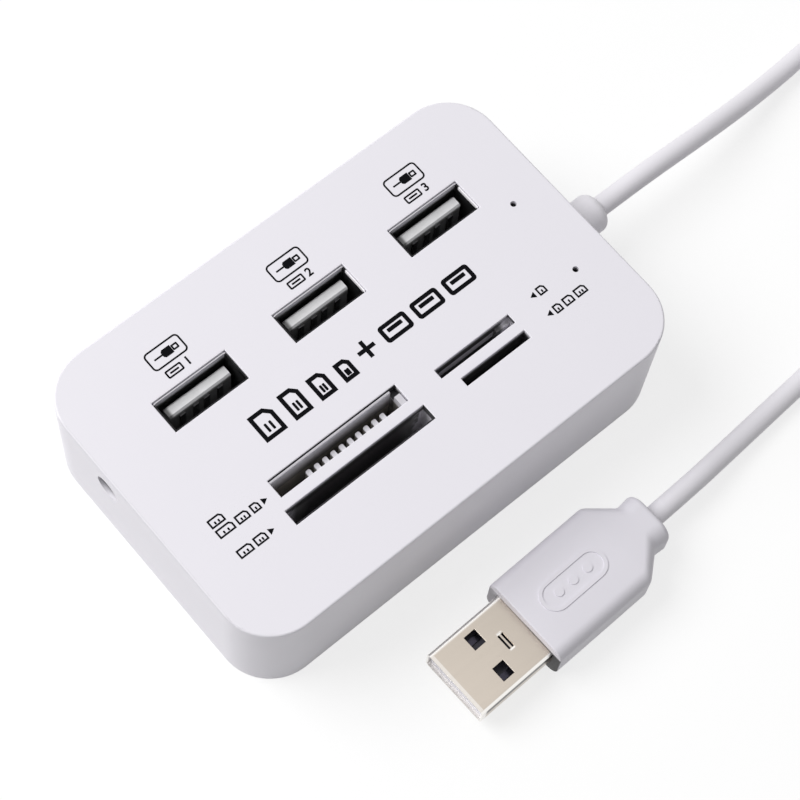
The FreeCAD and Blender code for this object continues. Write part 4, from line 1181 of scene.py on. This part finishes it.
class HUB_OT_plug(bpy.types.Operator):
    """Build the plug's grip with its raised mark, and finish the shell, the insulator and the contacts"""

    bl_idname = "hub.plug"
    bl_label = "Build the plug"

    def execute(self, context):
        cable = context.scene.hub_cable
        case = context.scene.hub_case
        rubber = moulded("grip_rubber", cable.grip_colour, 0.46, 2200.0, 0.03 * MM, dull_front)
        turn = Matrix.Translation(PLUG_PLACE) @ Matrix.Rotation(PLUG_ANGLE, 4, "Z")
        grip = grip_mesh()
        grip.transform(turn)
        piece = new_piece("plug_grip_form", grip, rubber)
        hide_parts("plug_grip")
        mark = raised_mark_mesh()
        mark.transform(turn)
        new_piece("plug_mark", mark, rubber)
        dress(["plug_shell"], plated("plug_nickel", cable.plate_colour, 0.3, 0, 1500.0, worn_edges))
        insulator = moulded("insulator_white", case.shell_colour, 0.45, 900.0, tint=pale_mouth)
        dress(["plug_insulator"], insulator)
        dress(["plug_contacts"], gold_flash("plug_spring", case.gold_colour, pale_mouth))
        grommet_colour = scaled(cable.sheath_colour, 1.05)
        dress(["cable_grommet"], moulded("grommet_rubber", grommet_colour, 0.46, 2200.0, 0.03 * MM))
        dress(["coil_tie"], moulded("tie_vinyl", cable.sheath_colour, 0.5, 1800.0, 0.04 * MM))
        return {"FINISHED"}


# Cable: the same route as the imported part's
CABLE_STRAIGHT = 9.0 * MM
ARRIVAL_SHARE = 0.8
CABLE_EXIT_HEIGHT = 9.0 * MM
COIL_STUB = 14.0 * MM
COIL_LAYER = 3.4 * MM
COIL_TURNS = 2.5
# Turns between which the cable moves inwards, up to the next layer and outwards again
COIL_INWARD = (0.84, 1.02)
COIL_UPWARD = (1.62, 1.78)
COIL_OUTWARD = (1.72, 1.9)
TIE_THICKNESS = 0.4 * MM
FLOOR_GAP = 0.02 * MM


def share_route(start, leaving, end, arriving, bends):
    """Points of a stretch of cable: straight off both ends, with bends at shares of the way between.

    Each bend is its share of the way, its shift along Y and its height.
    """
    points = [start, start + leaving * CABLE_STRAIGHT]
    for share, shift, height in bends:
        point = start.lerp(end, share)
        points.append(Vector((point.x, point.y + shift, height)))
    return points + [end - arriving * CABLE_STRAIGHT * ARRIVAL_SHARE, end]


def coil_points(cable, centre, low):
    """Two and a half turns from the north to the south point: outer, inner beside it, then on top."""
    half = cable.diameter / 2
    count = int(COIL_TURNS * cable.points_per_turn)
    points = []
    for index in range(1, count):
        turn = COIL_TURNS * index / count
        radius = cable.coil_radius + half
        radius -= 2 * half * ease(turn, *COIL_INWARD)
        radius += half * ease(turn, *COIL_OUTWARD)
        height = low + COIL_LAYER * ease(turn, *COIL_UPWARD)
        angle = 2 * math.pi * turn
        points.append(Vector((
            centre.x + radius * math.sin(angle), centre.y + radius * math.cos(angle), height
        )))
    return points


def cable_route(cable):
    """Control points of the whole cable from the case to the plug."""
    half = cable.diameter / 2
    along = Vector((1, 0, 0))
    exit_point = Vector((grommet_end, 0, CABLE_EXIT_HEIGHT))
    centre = (coil_low + coil_high) / 2
    centre.x = coil_high.x - cable.coil_radius - cable.diameter
    low = half + TIE_THICKNESS
    high = low + COIL_LAYER
    lead_end = Vector((centre.x - COIL_STUB, centre.y + cable.coil_radius + half, low))
    tail_end = Vector((centre.x - COIL_STUB, centre.y - cable.coil_radius, high))
    plug_axis = Vector((math.cos(PLUG_ANGLE), math.sin(PLUG_ANGLE), 0))
    plug_end = PLUG_PLACE + Vector((0, 0, GRIP_HEIGHT / 2)) + plug_axis * PLUG_LENGTH
    floor = half + FLOOR_GAP
    lead_bends = [
        (0.37, -0.8 * MM, 7.6 * MM),
        (0.58, -0.6 * MM, 4.6 * MM),
        (0.77, -0.1 * MM, low + 0.3 * MM),
    ]
    tail_bends = [
        (0.22, 0.5 * MM, floor + 0.7 * MM),
        (0.35, 0.95 * MM, floor),
        (0.49, 1.3 * MM, floor + 0.01 * MM),
        (0.64, 1.35 * MM, floor + 0.1 * MM),
        (0.79, 0.9 * MM, floor + 1.9 * MM),
    ]
    lead = share_route(exit_point, along, lead_end, along, lead_bends)
    tail = share_route(plug_end, plug_axis, tail_end, along, tail_bends)
    north = Vector((centre.x, lead_end.y, low))
    south = Vector((centre.x, tail_end.y, high))
    return lead + [north] + coil_points(cable, centre, low) + [south] + list(reversed(tail))


class HUB_OT_cable(bpy.types.Operator):
    """Lay the cable from the case through its coil to the plug"""

    bl_idname = "hub.cable"
    bl_label = "Lay the cable"

    def execute(self, context):
        cable = context.scene.hub_cable
        route = cable_route(cable)
        curve = bpy.data.curves.new("cable", "CURVE")
        curve.dimensions = "3D"
        curve.bevel_depth = cable.diameter / 2
        curve.bevel_resolution = 7
        curve.resolution_u = 8
        curve.use_fill_caps = True
        spline = add_spline(curve, "NURBS", route)
        spline.order_u = 3
        spline.use_endpoint_u = True
        sheath = sheathing("cable_sheath", cable.sheath_colour)
        piece = new_piece("cable", curve, sheath)
        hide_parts("cable_lead", "cable_coil", "cable_tail")
        on_cable = ("cable_grommet", "coil_tie", "plug_shell", "plug_insulator", "plug_contacts")
        with_pieces = [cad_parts[name] for name in on_cable]
        with_pieces += [bpy.data.objects[name] for name in ("plug_grip_form", "plug_mark")]
        return {"FINISHED"}


# Stage
FLOOR_REACH = 3.0
FLOOR_DROP = 0.05 * MM
FLOOR_PAPER = (0.62, 0.62, 0.62)
KEY_WAY = Vector((-0.42, 0.49, 0.76)).normalized()
KEY_DISTANCE = 1.2
KEY_SIZE = 0.9
SENSOR_WIDTH = 36.0
NEAREST = 0.01
FARTHEST = 20.0


def add_floor(stage):
    """White floor with the part's faint shadow; other surfaces are lit by it as by pale paper."""
    mesh = bmesh.new()
    bmesh.ops.create_grid(mesh, x_segments=1, y_segments=1, size=FLOOR_REACH)
    bmesh.ops.translate(mesh, verts=mesh.verts, vec=(0, 0, -FLOOR_DROP))
    data = bpy.data.meshes.new("floor")
    mesh.to_mesh(data)
    mesh.free()
    floor = placed("floor", data)
    finish = Finish("floor_paper")
    paper = finish.node("ShaderNodeBsdfDiffuse", {}, {"Color": FLOOR_PAPER}, "BSDF")
    shade = finish.node("ShaderNodeBsdfDiffuse", {}, {"Color": (stage.floor_shade,) * 3}, "BSDF")
    white = {"Color": (1, 1, 1), "Strength": stage.floor_glow}
    glow = finish.node("ShaderNodeEmission", {}, white, "Emission")
    shown = finish.node("ShaderNodeAddShader", {}, {0: shade, 1: glow}, "Shader")
    both = finish.node("ShaderNodeMixShader", {}, {"Fac": finish.seen(), 1: paper, 2: shown}, "Shader")
    data.materials.append(finish.replace_surface(both))


def add_light(scene, stage):
    """Even pale sky and one large soft lamp from the side of the jack and the ports."""
    world = bpy.data.worlds.new("studio")
    world.use_nodes = True
    sky = Nodes(world.node_tree)
    strength = stage.sky_strength + (1 - stage.sky_strength) * sky.seen()
    back = world.node_tree.nodes["Background"]
    sky.feed(back.inputs["Color"], (1, 1, 1))
    sky.feed(back.inputs["Strength"], strength)
    scene.world = world

    lamp = bpy.data.lights.new("key", "AREA")
    lamp.shape = "DISK"
    lamp.size = KEY_SIZE
    lamp.energy = stage.key_power
    key = placed("key", lamp)
    key.location = KEY_WAY * KEY_DISTANCE
    key.rotation_mode = "QUATERNION"
    key.rotation_quaternion = KEY_WAY.to_track_quat("Z", "Y")


def add_camera(scene, stage):
    """Camera at the picture's own angle, given by its turns, distance and slides."""
    azimuth, elevation, roll = stage.azimuth, stage.elevation, stage.roll
    back = Vector((
        math.sin(azimuth) * math.cos(elevation),
        -math.cos(azimuth) * math.cos(elevation),
        math.sin(elevation),
    ))
    level = Vector((0, 0, 1)).cross(back).normalized()
    upright = back.cross(level)
    right = level * math.cos(roll) + upright * math.sin(roll)
    up = upright * math.cos(roll) - level * math.sin(roll)
    data = bpy.data.cameras.new("camera")
    data.lens = stage.lens
    data.sensor_width = SENSOR_WIDTH
    data.clip_start = NEAREST
    data.clip_end = FARTHEST
    camera = placed("camera", data)
    eye = back * stage.distance - right * stage.slide_right - up * stage.slide_up
    turn = Matrix((right, up, back)).transposed().to_4x4()
    camera.matrix_world = Matrix.Translation(eye) @ turn
    scene.camera = camera


class HUB_OT_stage(bpy.types.Operator):
    """Set the floor, the light and the camera"""

    bl_idname = "hub.stage"
    bl_label = "Set the stage"

    def execute(self, context):
        stage = context.scene.hub_stage
        add_floor(stage)
        add_light(context.scene, stage)
        add_camera(context.scene, stage)
        context.scene.view_settings.view_transform = "Standard"
        return {"FINISHED"}


OPERATORS = (
    HUB_OT_case,
    HUB_OT_ports,
    HUB_OT_slots,
    HUB_OT_board,
    HUB_OT_print,
    HUB_OT_plug,
    HUB_OT_cable,
    HUB_OT_stage,
)


class HUB_PT_panel(bpy.types.Panel):
    """Steps and settings of the hub"""

    bl_label = "Hub"
    bl_idname = "HUB_PT_panel"
    bl_space_type = "VIEW_3D"
    bl_region_type = "UI"
    bl_category = "Hub"

    def draw(self, context):
        for operator in OPERATORS:
            self.layout.operator(operator.bl_idname)
        for name in SETTINGS:
            group = getattr(context.scene, name)
            box = self.layout.box()
            for key in group.__annotations__:
                box.prop(group, key)


CLASSES = (*SETTINGS.values(), *OPERATORS, HUB_PT_panel)


def register():
    """Registers every class and puts the settings on the scene."""
    for item in CLASSES:
        bpy.utils.register_class(item)
    for name, group in SETTINGS.items():
        setattr(bpy.types.Scene, name, PointerProperty(type=group))


def unregister():
    """Takes the settings and classes away again."""
    for name in SETTINGS:
        delattr(bpy.types.Scene, name)
    for item in reversed(CLASSES):
        bpy.utils.unregister_class(item)


def main():
    """Registers the add-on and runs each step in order."""
    register()
    bpy.ops.hub.case()
    bpy.ops.hub.ports()
    bpy.ops.hub.slots()
    bpy.ops.hub.board()
    bpy.ops.hub.print()
    bpy.ops.hub.plug()
    bpy.ops.hub.cable()
    bpy.ops.hub.stage()


if __name__ == "__main__":
    main()
